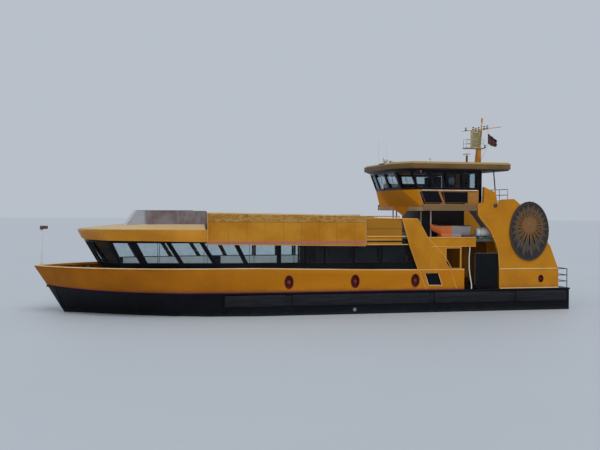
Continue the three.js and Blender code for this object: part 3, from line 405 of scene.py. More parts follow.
def pane_glass(name, tint):
    """Window glass with a thin veil of salt; light passes to what is behind it."""
    material, place = surface(name, 0.03, Transmission_Weight=1.0, IOR=1.22)
    salt = noise(place, 2.2, 5.0)
    tone = blended(span(salt, 0.35, 0.7, 0.0, 0.35), tint, (0.62, 0.64, 0.64))
    dress(material, tone, span(salt, 0.3, 0.75, 0.02, 0.07))
    tree = material.node_tree
    choice = tree.nodes.new("ShaderNodeMixShader")
    shadow_ray = tree.nodes.new("ShaderNodeLightPath").outputs["Is Shadow Ray"]
    clear = add(tree, "ShaderNodeBsdfTransparent", Color=tint).outputs[0]
    for socket, value in zip(choice.inputs, (shadow_ray, shader_of(material).outputs[0], clear)):
        feed(socket, value)
    feed(tree.nodes["Material Output"].inputs["Surface"], choice.outputs[0])
    return material


def screen_reflections():
    """Weathered screen sheets, drawn opaque with painted reflections: pale grey facing forward, reddish brown
    along the sides.
    """
    material, place = surface("screen_painted_reflections", 0.3, Coat_Weight=0.4)
    x = split(place)[0]
    side = span(x, 9.25, 9.05)
    cloudy = use(place, CLOUDY, Scale=1.1)
    # Painted reflections: pale grey on the forward faces, reddish brown along the sides.
    front = blended(cloudy["Fade"], (0.26, 0.255, 0.27), (0.36, 0.35, 0.37))
    flank = blended(cloudy["Fade"], (0.115, 0.055, 0.045), (0.20, 0.165, 0.155))
    tone = blended(side, front, flank)
    runs = use(place, STREAKS, Cover=0.5)["Mask"]
    tone = blended(times(runs, 0.5), tone, (0.34, 0.31, 0.30))
    return dress(material, tone, span(cloudy["Grain"], 0.3, 0.7, 0.18, 0.36))


def board_facing():
    """Blank side board: yellow sheets, an open-mesh strip at the top and a rose strip at the foot."""
    material, place = surface("side_board_facing", 0.5, Specular_IOR_Level=0.16)
    x, y, z = split(place)
    cloudy = use(place, CLOUDY, Scale=0.7)
    tone = blended(cloudy["Fade"], AMBER_DARK, (0.56, 0.25, 0.02))
    holes_x = repeating(plus(x, z), 0.035)
    holes_z = repeating(minus(x, z), 0.035)
    hole = times(span(holes_x, 0.010, 0.018), span(holes_z, 0.010, 0.018))
    strip = times(hole, above(z, 4.97))
    rows = span(noise(stretched(place, (1.0, 1.0, 2.0)), 5.0, 3.0), 0.42, 0.62)
    tone = blended(times(above(z, 4.97), rows), tone, (0.56, 0.35, 0.10))
    tone = blended(times(strip, 0.8), tone, (0.10, 0.07, 0.035))
    foot = times(below(z, 3.955), above(z, 3.83))
    tone = blended(foot, tone, (0.44, 0.15, 0.115))
    joint = maths("MAXIMUM", span(repeating(x, 0.49), 0.009, 0.003),
                  span(maths("ABSOLUTE", minus(z, 4.97)), 0.014, 0.006))
    tone = blended(times(joint, 0.7), tone, (0.10, 0.05, 0.02))
    runs = use(place, STREAKS, Cover=0.4)["Mask"]
    tone = blended(times(runs, 0.45), tone, (0.22, 0.11, 0.04))
    rough = span(cloudy["Grain"], 0.3, 0.7, 0.38, 0.52)
    return dress(material, tone, rough, times(plus(joint, hole), -0.002))


def metal(name, colour, roughness, brush=(1.0, 1.0, 14.0), metallic=1.0):
    """Bare metal with brush or turning lines and dull patches."""
    material, place = surface(name, roughness, metallic)
    lines = noise(stretched(place, brush), 22.0, 2.0)
    patch = noise(place, 3.0, 4.0)
    low = tuple(c * 0.62 for c in colour)
    tone = blended(span(patch, 0.3, 0.7), low, colour)
    spread = span(lines, 0.3, 0.7, roughness - 0.08, roughness + 0.16)
    return dress(material, tone, spread, times(lines, 0.0004))


def moulded(name, light, dark, roughness, split_x=None):
    """Moulded plastic or glass fibre with faint flow marks, in one colour or two along the length."""
    material, place = surface(name, roughness, Coat_Weight=0.2)
    cloudy = use(place, CLOUDY, Scale=1.4, Grain=180.0)
    tone = blended(cloudy["Fade"], dark, light)
    if split_x:
        at, aft = split_x
        tone = blended(below(split(place)[0], at), tone, aft)
    tone = blended(times(use(place, STREAKS, Cover=0.3)["Mask"], 0.35), tone, (0.12, 0.10, 0.08))
    grain = span(cloudy["Grain"], 0.3, 0.7, roughness - 0.05, roughness + 0.08)
    return dress(material, tone, grain, times(cloudy["Grain"], 0.0003))


def sunburst_gilding():
    """Gilded rays: gold near the hub, dull grey-gold at the tips, dark in the grooves."""
    material, place = surface("sunburst_gilding", 0.5, 0.4)
    x, y, z = split(place)
    u = minus(x, -12.28)
    v = minus(z, 4.82)
    far = maths("SQRT", plus(times(u, u), times(v, v)))
    wear = noise(place, 14.0, 5.0)
    reach = plus(far, times(minus(wear, 0.5), 0.5))
    tone = blended(span(reach, 0.45, 1.15), (0.24, 0.115, 0.035), (0.10, 0.075, 0.055))
    tone = blended(span(wear, 0.58, 0.72), tone, (0.06, 0.045, 0.03))
    return dress(material, tone, span(wear, 0.3, 0.7, 0.32, 0.6), times(wear, 0.002))


def bunting():
    """Woven bunting in three stripes, all painted dark as shade, the lowest a dim brown."""
    material, place = surface("flag_bunting", 0.85, Sheen_Weight=0.3)
    uv = place.node.outputs["UV"]
    u, v, w = split(uv)
    # Painted shade: the stripes are darkened as for a flag seen against the light, the lowest a dim brown.
    tone = blended(above(v, 0.25), (0.055, 0.032, 0.014), (0.085, 0.012, 0.016))
    tone = blended(above(v, 0.6667), tone, (0.012, 0.006, 0.009))
    warp = maths("SINE", times(u, 1500.0))
    weft = maths("SINE", times(v, 1500.0))
    weave = times(plus(times(warp, weft), 1.0), 0.5)
    soil = noise(uv, 6.0, 4.0)
    tone = blended(span(soil, 0.45, 0.8, 0.0, 0.4), tone, (0.03, 0.025, 0.022))
    return dress(material, tone, span(soil, 0.2, 0.8, 0.75, 0.95), times(weave, 0.0004))


def lamp_lens(name, colour, lit=0.0):
    """A ribbed lamp glass in its own colour, dark or lit."""
    material, place = surface(name, 0.12, Coat_Weight=0.8, Emission_Strength=lit)
    ribs = maths("SINE", times(split(place)[2], 500.0))
    dust = noise(place, 8.0, 4.0)
    low = tuple(c * 0.55 for c in colour)
    tone = blended(span(dust, 0.35, 0.7), colour, low)
    feed(shader_of(material).inputs["Emission Color"], tone)
    return dress(material, tone, height=times(ribs, 0.0006))


deck_green = deck_coating()
rubber = fender_rubber()
saloon_pane = pane_glass("saloon_pane", (0.72, 0.80, 0.82))
bridge_pane = pane_glass("wheelhouse_pane", (0.66, 0.76, 0.80))
reflecting_screen = screen_reflections()
board_face = board_facing()
steel = metal("stainless_steel", (0.60, 0.61, 0.62), 0.3)
galvanised = metal("galvanised_steel", (0.42, 0.44, 0.45), 0.46, (1, 1, 1), 0.85)
bronze = metal("cast_bronze", (0.55, 0.36, 0.15), 0.34, (6, 1, 1))
gilding = sunburst_gilding()
seat_plastic = moulded("brown_seat_shell", (0.115, 0.045, 0.026), (0.075, 0.030, 0.018), 0.45)
white_plastic = moulded("white_canister", (0.88, 0.88, 0.86), (0.80, 0.80, 0.77), 0.3)
boat_shell = moulded("orange_and_grey_boat", (0.72, 0.17, 0.03), (0.60, 0.13, 0.02), 0.38,
                     split_x=(-7.72, (0.30, 0.27, 0.27)))
flag_cloth = bunting()
medallion_dark = painted("dark_board", (0.030, 0.022, 0.018), (0.014, 0.011, 0.010), 0.6, streaks=0.2,
                         chips=0.1)
smoked_lens = lamp_lens("smoked_lamp_glass", (0.10, 0.06, 0.03))
red_lens = lamp_lens("red_lamp_glass", (0.55, 0.02, 0.015))
dark_red_lens = lamp_lens("dark_red_lamp_glass", (0.10, 0.012, 0.014))
green_lens = lamp_lens("green_lamp_glass", (0.01, 0.30, 0.12))
white_lens = lamp_lens("white_lamp_glass", (0.72, 0.72, 0.66))
ceiling_lamp = lamp_lens("lit_ceiling_lamp", (0.80, 0.82, 0.80), 5.0)

FINISHES = {
    hull_black: "hull deck_edge_bar rudder_port rudder_starboard",
    yellow_side: "topsides",
    yellow_fin: "fin_port fin_starboard",
    yellow_plain: "leg_port leg_starboard rail_port rail_starboard foredeck_hatch",
    mast_paint: "mast",
    roof_paint: "wheelhouse_roof",
    yellow_band: "roof_band",
    board_face: "side_board_port side_board_starboard",
    bridge_wall: "wheelhouse_wall",
    orange_wall: "wheelhouse_door aft_deckhouse saloon_aft_wall",
    frame_black: "saloon_window_frame wheelhouse_window_frame",
    black_trim: "foredeck_bitts stern_rail",
    pale_cream: "bridge_deck",
    deck_green: "foredeck upper_deck aft_upper_deck engine_hatch",
    ramp_green: "ramp_port ramp_starboard",
    grey_paint: "anchor_winch windscreen_frame helm engine_port engine_starboard",
    shade_black_room: "service_room_port service_room_starboard",
    rubber: "fender_port fender_starboard",
    saloon_pane: "saloon_glass",
    bridge_pane: "wheelhouse_glass",
    reflecting_screen: "windscreen_glass",
    steel: "saloon_door stairs",
    bronze: "propeller_port propeller_starboard",
    seat_plastic: "saloon_floor deck_benches",
    white_paint: "jackstaff radar_scanner whip_antennas",
    white_plastic: "liferaft_port liferaft_starboard",
    boat_shell: "rescue_boat",
    medallion_dark: "medallion_port medallion_starboard",
    flag_cloth: "flag",
}
for finish, names in FINISHES.items():
    for name in names.split():
        for socket in solids[name].material_slots:
            socket.material = finish
SLOTS = {
    "frame_black": (black_trim, frame_black, shade_black_room),
    "bright_steel": (steel, galvanised),
    "yellow_paint": (yellow_plain, pale_edge, red_line, niche_red, sunlit_edge, lattice_paint, roof_paint),
    "orange_paint": (orange_wall,),
    "pale_paint": (pale_cream, chin_bone),
    "white_paint": (white_paint, ceiling_white, glowing_lining, shade_sheet, dark_red_lens),
    "white_plastic": (white_plastic, ceiling_lamp),
    "window_glass": (smoked_lens, red_lens, green_lens, white_lens),
    "medallion_board": (gilding,),
    "seat_brown": (seat_plastic,),
    "ramp_green": (ramp_green,),
    "machine_grey": (grey_paint,),
}
slot_of = {finish: slot for slot, finishes in SLOTS.items() for finish in finishes}

# Shaping


def finished(name, bm, material, body="ferry", slot=None, smooth=None):
    """Closes a bmesh into a piece that rides on a body."""
    bmesh.ops.recalc_face_normals(bm, faces=bm.faces)
    mesh = bpy.data.meshes.new(name)
    bm.to_mesh(mesh)
    bm.free()
    piece = bpy.data.objects.new(name, mesh)
    bpy.context.scene.collection.objects.link(piece)
    mesh.materials.append(material)
    if smooth is not None:
        for face in mesh.polygons:
            face.use_smooth = True
        mesh.set_sharp_from_angle(angle=radians(smooth))
    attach(piece, body)
    return piece


def made(name, material, *steps, slot=None, **how):
    """One piece out of shaping steps, each a function with its values."""
    bm = bmesh.new()
    for step, *values in steps:
        step(bm, *values)
    return finished(name, bm, material, slot=slot or slot_of[material], **how)


def bar(bm, a, b, radius, count=8):
    a, b = Vector(a), Vector(b)
    turn = (b - a).to_track_quat("Z", "Y").to_matrix().to_4x4()
    bmesh.ops.create_cone(bm, cap_ends=True, cap_tris=False, segments=count, radius1=radius, radius2=radius,
                          depth=(b - a).length, matrix=Matrix.Translation((a + b) / 2) @ turn)


def knob(bm, centre, radius, size=(1, 1, 1), u=10, v=6):
    bmesh.ops.create_uvsphere(bm, u_segments=u, v_segments=v, radius=radius,
                              matrix=Matrix.Translation(centre) @ Matrix.Diagonal((*size, 1)))


def run(bm, points, radius, count=8, joints=True):
    """A bent pipe through points."""
    for a, b in zip(points, points[1:]):
        bar(bm, a, b, radius, count)
    for point in points[1:-1] if joints else ():
        knob(bm, point, radius, u=count, v=4)


def bead(bm, points, radius=0.017):
    """A thin round bar all the way round some points."""
    run(bm, [*points, points[0]], radius, 6)


def hoop(bm, centre, radius, thick, axis="X", count=24):
    """A round bar bent into a ring about an axis."""
    points = []
    for i in range(count + 1):
        a, b = radius * cos(2 * pi * i / count), radius * sin(2 * pi * i / count)
        points.append(Vector(centre) + Vector({"X": (0, a, b), "Y": (a, 0, b)}[axis]))
    run(bm, points, thick, 6)


def rounded(bm, edges, width, segments):
    bmesh.ops.bevel(bm, geom=edges, offset=width, segments=segments, profile=0.5, affect="EDGES",
                    clamp_overlap=True, material=-1)


def block(bm, low, high, bevel, segments=2):
    """A box between two corners with rounded edges."""
    low, high = Vector(low), Vector(high)
    size = [abs(length) for length in high - low]
    place = Matrix.Translation((low + high) / 2) @ Matrix.Diagonal((*size, 1))
    cube = bmesh.ops.create_cube(bm, size=1.0, matrix=place)
    rounded(bm, list(dict.fromkeys(e for v in cube["verts"] for e in v.link_edges)), bevel, segments)


def plate(bm, points, depth):
    """A flat closed plate: an outline pushed along a vector."""
    face = bm.faces.new([bm.verts.new(p) for p in points])
    pushed = bmesh.ops.extrude_face_region(bm, geom=[face])
    moved = [v for v in pushed["geom"] if isinstance(v, bmesh.types.BMVert)]
    bmesh.ops.translate(bm, verts=moved, vec=Vector(depth))


def swept(bm, points, profile):
    """A section of (outwards, upwards) offsets carried along a level path, port side outwards."""
    points = [Vector(p) for p in points]
    loops = []
    for i, point in enumerate(points):
        along = (points[min(i + 1, len(points) - 1)] - points[max(i - 1, 0)]).normalized()
        out = along.cross(Vector((0, 0, 1))).normalized()
        ring = [bm.verts.new(point + out * u + Vector((0, 0, v))) for u, v in profile]
        loops.append([bm.edges.new((ring[k], ring[(k + 1) % len(ring)])) for k in range(len(ring))])
    for a, b in zip(loops, loops[1:]):
        bmesh.ops.bridge_loops(bm, edges=a + b)
    for end in (loops[0], loops[-1]):
        bmesh.ops.contextual_create(bm, geom=end)


def turned(bm, profile, centre, axis="Z", count=20):
    """A closed turned shape from a (radius, along) profile."""
    before = set(bm.verts)
    verts = [bm.verts.new((r, 0, h)) for r, h in profile]
    edges = [bm.edges.new(pair) for pair in zip(verts, verts[1:])]
    bmesh.ops.spin(bm, geom=verts + edges, cent=(0, 0, 0), axis=(0, 0, 1), angle=2 * pi,
                   steps=count, use_merge=True, use_duplicate=False)
    bmesh.ops.remove_doubles(bm, verts=[v for v in bm.verts if v not in before], dist=1e-5)
    left = [v for v in bm.verts if v not in before]
    turn = {"Z": Matrix.Identity(4), "X": Matrix.Rotation(pi / 2, 4, "Y"),
            "Y": Matrix.Rotation(-pi / 2, 4, "X"), "-Y": Matrix.Rotation(pi / 2, 4, "X")}[axis]
    bmesh.ops.transform(bm, matrix=Matrix.Translation(centre) @ turn, verts=left)


def softened(name, node, width, smooth, segments=2):
    """A copy of a plain solid with its edges rounded, as bent and dressed plate is."""
    bm = bmesh.new()
    bm.from_mesh(solids[node].data)
    bmesh.ops.remove_doubles(bm, verts=bm.verts, dist=0.0002)
    bmesh.ops.dissolve_limit(bm, angle_limit=radians(0.6), verts=bm.verts, edges=bm.edges)
    if width:
        sharp = [e for e in bm.edges if len(e.link_faces) == 2 and e.calc_face_angle() > radians(28)]
        rounded(bm, sharp, width, segments)
    bmesh.ops.triangulate(bm, faces=bm.faces)
    finish = solids[node].material_slots[0].material
    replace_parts(finished(name, bm, finish, solids[node]["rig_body"], smooth=smooth), node)


# Lines of the ship

FACING = {1: "Y", -1: "-Y"}
SKIN = 3.952
NICHE_Z = 1.78
SALOON_FLOOR, CEILING, UPPER_DECK, AFT_DECK = 1.38, 4.038, 4.405, 4.081
BRIDGE_DECK, ROOF_TOP, MAST_PLATFORM = 5.851, 8.351, 9.431


def plan_half(x, tip, half=3.95):
    return max(0.025, half * (1 - max(0.0, (x - 3.5) / (tip - 3.5)) ** 3.4))


def deck_edge(x):
    return 1.24 + 0.25 * max(0.0, x / 14.24) ** 3


SHEER = [(-14.16, 2.36), (-5.6, 2.36), (-2.3, 2.40), (3.4, 2.52), (14.93, 2.55)]


def sheer(x):
    for (x0, z0), (x1, z1) in zip(SHEER, SHEER[1:]):
        if x <= x1:
            return z0 + (z1 - z0) * (x - x0) / (x1 - x0)
    return SHEER[-1][1]


def on_side(side, y, points):
    """Points given by length and height, in an upright plane on one side of the ship."""
    return [Vector((x, side * y, z)) for x, z in points]


def along_side(x0, x1, y_of, z_of, side):
    """Points about 0.6 m apart along the side, from x1 to x0."""
    count = round((x1 - x0) / 0.6) + 1
    xs = [x0 + (x1 - x0) * i / (count - 1) for i in range(count)]
    return [(x, side * y_of(x), z_of(x)) for x in xs][::-1]


def oval(cx, cz, a, b, y, count=28):
    return [Vector((cx + a * cos(2 * pi * i / count), y, cz + b * sin(2 * pi * i / count)))
            for i in range(count)]


def whole(half):
    """Port half of an outline, bow first, closed round the ship from the starboard quarter."""
    port = [Vector((x, y, 0)) for x, y in half if y > 0]
    tip = [Vector((x, y, 0)) for x, y in half if y == 0]
    return [Vector((p.x, -p.y, 0)) for p in reversed(port)] + tip + port


def shifted(outline, shifts):
    """Moves each edge of an outline inwards by its own amount."""
    lines = []
    for i, a in enumerate(outline):
        b = outline[(i + 1) % len(outline)]
        along = (b - a).normalized()
        inward = Vector((-along.y, along.x, 0)) * shifts[i]
        lines.append((a + inward, b + inward))
    return [intersect_line_line(*lines[i - 1], *lines[i])[0] for i in range(len(outline))]


class Wall:
    """A sloping wall round the ship, between a foot outline and a head outline."""

    def __init__(self, foot, head, low, high):
        self.foot, self.head, self.low, self.high = foot, head, low, high

    def ends(self, i, z):
        share = (z - self.low) / (self.high - self.low)
        j = (i + 1) % len(self.foot)
        return [self.foot[k].lerp(self.head[k], share) + Vector((0, 0, z)) for k in (i, j)]

    def at(self, i, share, z):
        a, b = self.ends(i, z)
        return a.lerp(b, share)

    def at_x(self, x, z, facets):
        """The point of the wall at a length and height, on the facet that reaches it."""
        for i in facets:
            a, b = self.ends(i, z)
            if min(a.x, b.x) - 1e-6 <= x <= max(a.x, b.x) + 1e-6:
                return a.lerp(b, (x - a.x) / (b.x - a.x))
        return self.at(facets[-1], 1.0, z)

    def pane(self, i, u0, u1, z0, z1):
        """Corners of a pane on one facet, between two shares of its length and two heights."""
        return [self.at(i, u, z) for u, z in ((u0, z0), (u1, z0), (u1, z1), (u0, z1))]


leans = [0.05, -0.28, -0.84, -1.01, -1.133, -1.133, -1.01, -0.84, -0.28, 0.05, 0.77]
saloon_foot = whole([(11.2, 0), (11.02, 1.05), (10.6, 2.05), (10.15, 2.866), (4.3, 3.848), (-5.75, 3.855)])
saloon = Wall(saloon_foot, shifted(saloon_foot, leans), 2.061, 4.055)
house_sill = whole([(-5.34, 1.93), (-5.67, 3.69), (-9.3, 3.69)])
house = Wall(house_sill, shifted(house_sill, [0, -0.413, -0.42, -0.413, 0, 0]), 6.8003, 7.88)

# Hull and topsides

for nodes, width, smooth in (
        ("hull", 0.0, 24), ("topsides deck_edge_bar", 0.012, 24), ("roof_band", 0.02, 24),
        ("leg_port leg_starboard", 0.012, None), ("fin_port fin_starboard", 0.015, None),
        ("wheelhouse_wall", 0.012, None), ("wheelhouse_roof", 0.03, 30), ("bridge_deck", 0.012, 30),
        ("fender_port fender_starboard", 0.02, 30), ("side_board_port side_board_starboard", 0.008, None),
        ("aft_deckhouse", 0.03, None), ("ramp_port ramp_starboard", 0.008, 40),
        ("engine_port engine_starboard", 0.03, None), ("mast", 0.006, 35), ("helm", 0.012, 35),
        ("anchor_winch", 0.006, 35), ("foredeck_hatch", 0.008, 35)):
    for node in nodes.split():
        softened(node + "_plated", node, width, smooth)

CAP = [(-0.055, -0.014), (-0.045, 0.022), (0.0, 0.034), (0.04, 0.022), (0.05, -0.014)]
LINE = [(-0.006, 0.0), (-0.006, 0.055), (0.012, 0.05), (0.012, 0.005)]
for name, side in SIDES:
    made(f"sheer_cap_{name}", pale_edge,
         (swept, along_side(-8.36, 14.86, lambda x: plan_half(x, 14.93) - 0.045, sheer, side),
          [(u * side, v) for u, v in CAP]), smooth=40)
    made(f"red_line_{name}", red_line,
         (swept, along_side(-8.36, 14.1, lambda x: plan_half(x, 14.24) + 0.004, deck_edge, side),
          [(u * side, v) for u, v in LINE]))
    made(f"fin_rubbing_lines_{name}", pale_edge,
         (swept, [(-10.52, side * 3.955, 1.245), (-14.16, side * 3.955, 1.245)], LINE),
         (swept, [(-10.5, side * SKIN, 2.36), (-14.13, side * SKIN, 2.36)],
          [(-0.01, -0.025), (0.022, -0.018), (0.022, 0.018), (-0.01, 0.025)]), smooth=40)

for name, side in SIDES:
    made(f"niche_rims_{name}", niche_red, *[
        (bead, oval(x, NICHE_Z, a + 0.008, b + 0.008, side * 3.953), 0.016)
        for x, a, b in ((1.65, 0.23, 0.35), (-2.02, 0.23, 0.35), (-5.47, 0.23, 0.35), (-13.05, 0.15, 0.2))],
        smooth=50)
    made(f"side_bollards_{name}", niche_red, *[
        (bar, (x, side * y_in, NICHE_Z), (x, side * y_out, NICHE_Z), radius, count)
        for x in (1.65, -2.02, -5.47)
        for y_in, y_out, radius, count in ((3.74, 3.905, 0.055, 14), (3.90, 3.925, 0.095, 16))],
        slot="hull_paint", smooth=40)

# Window seals: rubber beads round each pane, a side pane by its two sill ends and its two head ends

SIDE_PANES = [
    (10.34, 9.42, 10.84, 10.02), (9.04, 7.41, 9.60, 8.09), (7.19, 5.70, 7.87, 6.38), (5.48, 4.07, 6.16, 4.62),
    (3.85, 2.29, 4.40, 2.29), (2.07, 0.85, 2.07, 0.85), (0.63, -0.23, 0.63, -0.23),
    (-0.45, -1.85, -0.45, -1.85), (-2.07, -3.42, -2.07, -3.42), (-3.64, -5.25, -3.64, -4.90)]
PANE_LOW, PANE_HIGH = 2.81, 3.88


def stations(a, b, step=0.3):
    count = max(1, round(abs(b - a) / step))
    return [a + (b - a) * i / count for i in range(count)]


def side_pane(side, a, b, c, d):
    """Points round a side pane, close enough to follow the wall's facets."""
    edge = [(x, PANE_LOW) for x in stations(a, b)]
    edge += [(b + (d - b) * t, PANE_LOW + (PANE_HIGH - PANE_LOW) * t) for t in (0.0, 0.33, 0.67)]
    edge += [(x, PANE_HIGH) for x in stations(d, c)]
    edge += [(c + (a - c) * t, PANE_HIGH + (PANE_LOW - PANE_HIGH) * t) for t in (0.0, 0.33, 0.67)]
    points = [saloon.at_x(x, z, (8, 9)) for x, z in edge]
    return [Vector((p.x, p.y * side, p.z)) for p in points]


made("saloon_window_seals", black_trim,
     *[(bead, side_pane(side, *pane)) for name, side in SIDES for pane in SIDE_PANES],
     *[(bead, saloon.pane(i, 0.08, 0.92, PANE_LOW, PANE_HIGH)) for i in range(2, 8)], smooth=50)
four_panes = [(0.02, 0.24), (0.27, 0.49), (0.52, 0.74), (0.77, 0.98)]
made("wheelhouse_window_seals", black_trim, *[
    (bead, house.pane(i, u0, u1, 6.9, 7.78), 0.015) for i, shares in (
        (0, four_panes), (4, four_panes), (1, [(0.08, 0.92)]), (3, [(0.08, 0.92)]),
        (2, [(0.04, 0.48), (0.52, 0.96)]), (5, [(0.05, 0.3), (0.7, 0.95)])) for u0, u1 in shares], smooth=50)

# Gilded sunbursts on the ovals at the quarters

SUN = Vector((-12.28, 0, 4.82))
OVAL_Z, OVAL_A, OVAL_B = 4.49, 1.21, 1.68


def oval_reach(angle):
    """How far the oval's edge lies from the sun's middle, along one direction."""
    dx, dz = cos(angle), sin(angle)
    rise = SUN.z - OVAL_Z
    a = (dx / OVAL_A) ** 2 + (dz / OVAL_B) ** 2
    b = 2 * dz * rise / OVAL_B ** 2
    c = (rise / OVAL_B) ** 2 - 1
    return (-b + (b * b - 4 * a * c) ** 0.5) / (2 * a)


def sun_at(side, y, angle=0.0, far=0.0):
    return SUN + Vector((cos(angle) * far, side * y, sin(angle) * far))


def sunburst(bm, side, rays=40):
    """Long and short wavy rays with a ridge, rings of scales, and a domed hub."""
    for i in range(rays):
        angle = 2 * pi * (i + 0.5) / rays
        reach = oval_reach(angle) * (0.93 if i % 2 else 0.80)
        along = Vector((cos(angle), 0, sin(angle)))
        across = Vector((-sin(angle), 0, cos(angle)))
        bend = 0.03 if i % 2 else -0.03
        steps = (0.36, 0.55 * reach, 0.8 * reach, reach)
        widths = (0.034, 0.052 * reach, 0.058 * reach, 0.008)
        sway = (0.0, bend, 0.0, -bend)
        centre = [SUN + along * d + across * w + Vector((0, side * 4.008, 0)) for d, w in zip(steps, sway)]
        left = [p + across * w for p, w in zip(centre, widths)]
        right = [p - across * w for p, w in zip(centre, widths)]
        plate(bm, left + right[::-1], (0, side * 0.016, 0))
        run(bm, [p + Vector((0, side * 0.016, 0)) for p in centre], 0.010, 5, joints=False)
    for layer, count, width in ((0.42, 30, 0.06), (0.34, 24, 0.06), (0.24, 18, 0.055), (0.14, 12, 0.045)):
        for i in range(count):
            tip = sun_at(side, 4.018, 2 * pi * (i + layer) / count, layer + 0.13)
            knob(bm, tip.lerp(sun_at(side, 4.018), 0.25), width, (1, 0.2, 1.2), 8, 5)
    turned(bm, [(0, 0.0), (0.42, 0.0), (0.42, 0.012), (0.30, 0.022), (0.12, 0.030), (0, 0.032)],
           sun_at(side, 4.006), FACING[side], 28)
    knob(bm, sun_at(side, 4.034), 0.11, (1, 0.2, 1), 16, 8)


for name, side in SIDES:
    made(f"sunburst_{name}", gilding, (sunburst, side), smooth=35)
    made(f"oval_rim_{name}", gilding, *[
        (bead, oval(SUN.x, OVAL_Z, OVAL_A * scale, OVAL_B * scale, side * 4.012, 48), radius)
        for scale, radius in ((0.985, 0.022), (0.93, 0.010))], smooth=50)

# Flag on its halyard: stiff bunting that hangs in folds

FLAG_FLY, FLAG_HOIST = 0.84, 0.62
FLAG_TOP = Vector((-11.58, -0.02, 10.33))
FLAG_DROOP = radians(34)
FOLD_LENGTH, FOLD_TURN, FLY_STEPS = 0.30, 0.75, 256


def flag_sheet():
    bm = bmesh.new()
    bm.loops.layers.uv.verify()
    bmesh.ops.create_grid(bm, x_segments=64, y_segments=24, size=0.5, calc_uvs=True)
    step = FLAG_FLY / FLY_STEPS
    line = [Vector((0, 0, 0))]
    for i in range(FLY_STEPS):
        s = i * step
        heading = FOLD_TURN * sin(2 * pi * s / FOLD_LENGTH + 0.7) * min(1.0, s / 0.10)
        line.append(line[-1] + Vector((cos(heading), sin(heading), 0)) * step)
    for v in bm.verts:
        u, w = v.co.x + 0.5, v.co.y + 0.5
        here = line[min(FLY_STEPS, round(u * FLY_STEPS))]
        gather = u * here.x / FLAG_FLY
        low = (1 - w) * FLAG_HOIST * (1 - 0.42 * gather)
        sway = 0.05 * gather * sin(4 * pi * (1 - w))
        v.co = FLAG_TOP + Vector((-here.x * cos(FLAG_DROOP), here.y + sway, -low - here.x * sin(FLAG_DROOP)))
    piece = finished("flag_sheet", bm, flag_cloth, slot="flag_cloth", smooth=180)
    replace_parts(piece, "flag")


flag_sheet()

# Side boards, the panels aft of them, and the edges of the legs and fins: y, radius, facets, points

LEG_LINES = (
    (SKIN, 0.022, 6, ((-5.60, 5.165), (-6.17, 4.15), (-7.27, 2.98), (-7.60, 2.42))),
    (SKIN, 0.022, 6, ((-4.70, 5.17), (-5.15, 3.64), (-5.64, 2.36))),
    (SKIN, 0.02, 6, ((-5.66, 2.36), (-6.09, 1.29))),
    (SKIN, 0.02, 6, ((-7.56, 2.36), (-7.90, 1.30))),
    (3.945, 0.018, 6, ((-7.27, 3.55), (-8.12, 3.55), (-8.12, 2.42), (-7.52, 2.42), (-7.27, 2.70),
                       (-7.27, 3.55))),
    (3.95, 0.03, 8, ((-6.2, 4.14), (-9.04, 4.14))),
    (3.95, 0.02, 6, ((-6.4, 3.64), (-9.04, 3.64))))
FIN_LINES = (
    (SKIN, 0.02, 6, ((-10.52, 1.26), (-10.50, 2.30), (-10.41, 3.34), (-10.27, 3.80), (-9.91, 4.53),
                     (-9.34, 5.18), (-9.19, 5.41), (-9.14, 5.90), (-9.30, 6.06))),
    (SKIN, 0.02, 6, ((-11.33, 6.30), (-11.65, 6.04), (-13.60, 3.64), (-14.03, 2.55), (-14.14, 2.36))))
for name, side in SIDES:
    y = side * 3.903
    made(f"board_edging_{name}", pale_edge, *[
        (block, (x - 0.02, side * 3.845, 3.80), (x + 0.02, side * 3.879, 5.30), 0.004, 1)
        for x in [5.9 - 0.98 * k for k in range(9)]],
        (bar, (5.99, y, 5.437), (-2.63, y, 5.322), 0.022), (bar, (5.99, y, 3.812), (-2.63, y, 3.700), 0.018),
        (bar, (5.985, y, 3.815), (5.985, y, 5.435), 0.02), (bar, (-2.625, y, 3.70), (-2.625, y, 5.32), 0.02),
        smooth=40)
    made(f"panel_ledges_{name}", sunlit_edge,
         (run, [(-2.66, side * 3.86, 5.212), (-4.70, side * 3.90, 5.178), (-5.60, side * 3.90, 5.167)],
          0.026),
         *[(bar, (-2.70, side * 3.885, z), (-5.2 + 0.35 * (z - 3.76), side * 3.885, z), radius)
           for z, radius in ((4.20, 0.034), (3.76, 0.03))], smooth=40)
    made(f"panel_gaps_{name}", black_trim, *[
        (block, (-2.68, side * 3.872, z - high / 2), (-4.9, side * 3.884, z + high / 2), 0.003, 1)
        for z, high in ((4.62, 0.02), (3.93, 0.09))])
    for part, lines in (("leg", LEG_LINES), ("fin", FIN_LINES)):
        made(f"{part}_flanges_{name}", sunlit_edge, *[
            (run, on_side(side, y, points), radius, count) for y, radius, count, points in lines], smooth=45)

# Bridge deck fascia with its grab rail, and the wheelhouse trim

for name, side in SIDES:
    made(f"bridge_fascia_{name}", pale_cream,
         (block, (-9.0, side * SKIN, 5.62), (-5.88, side * 3.962, 5.95), 0.004, 1),
         (block, (-9.0, side * 3.70, 5.925), (-5.93, side * 3.955, 5.95), 0.004, 1))
    made(f"wheelhouse_handrail_{name}", steel,
         (bar, (-5.9, side * 3.745, 6.76), (-9.2, side * 3.745, 6.76), 0.018),
         *[(bar, (x, side * 3.685, 6.76), (x, side * 3.745, 6.76), 0.012, 6)
           for x in (-6.0, -6.8, -7.6, -8.4, -9.1)], smooth=40)

# Chin of the wheelhouse: the amber front runs down to a point under the deck's pale edge

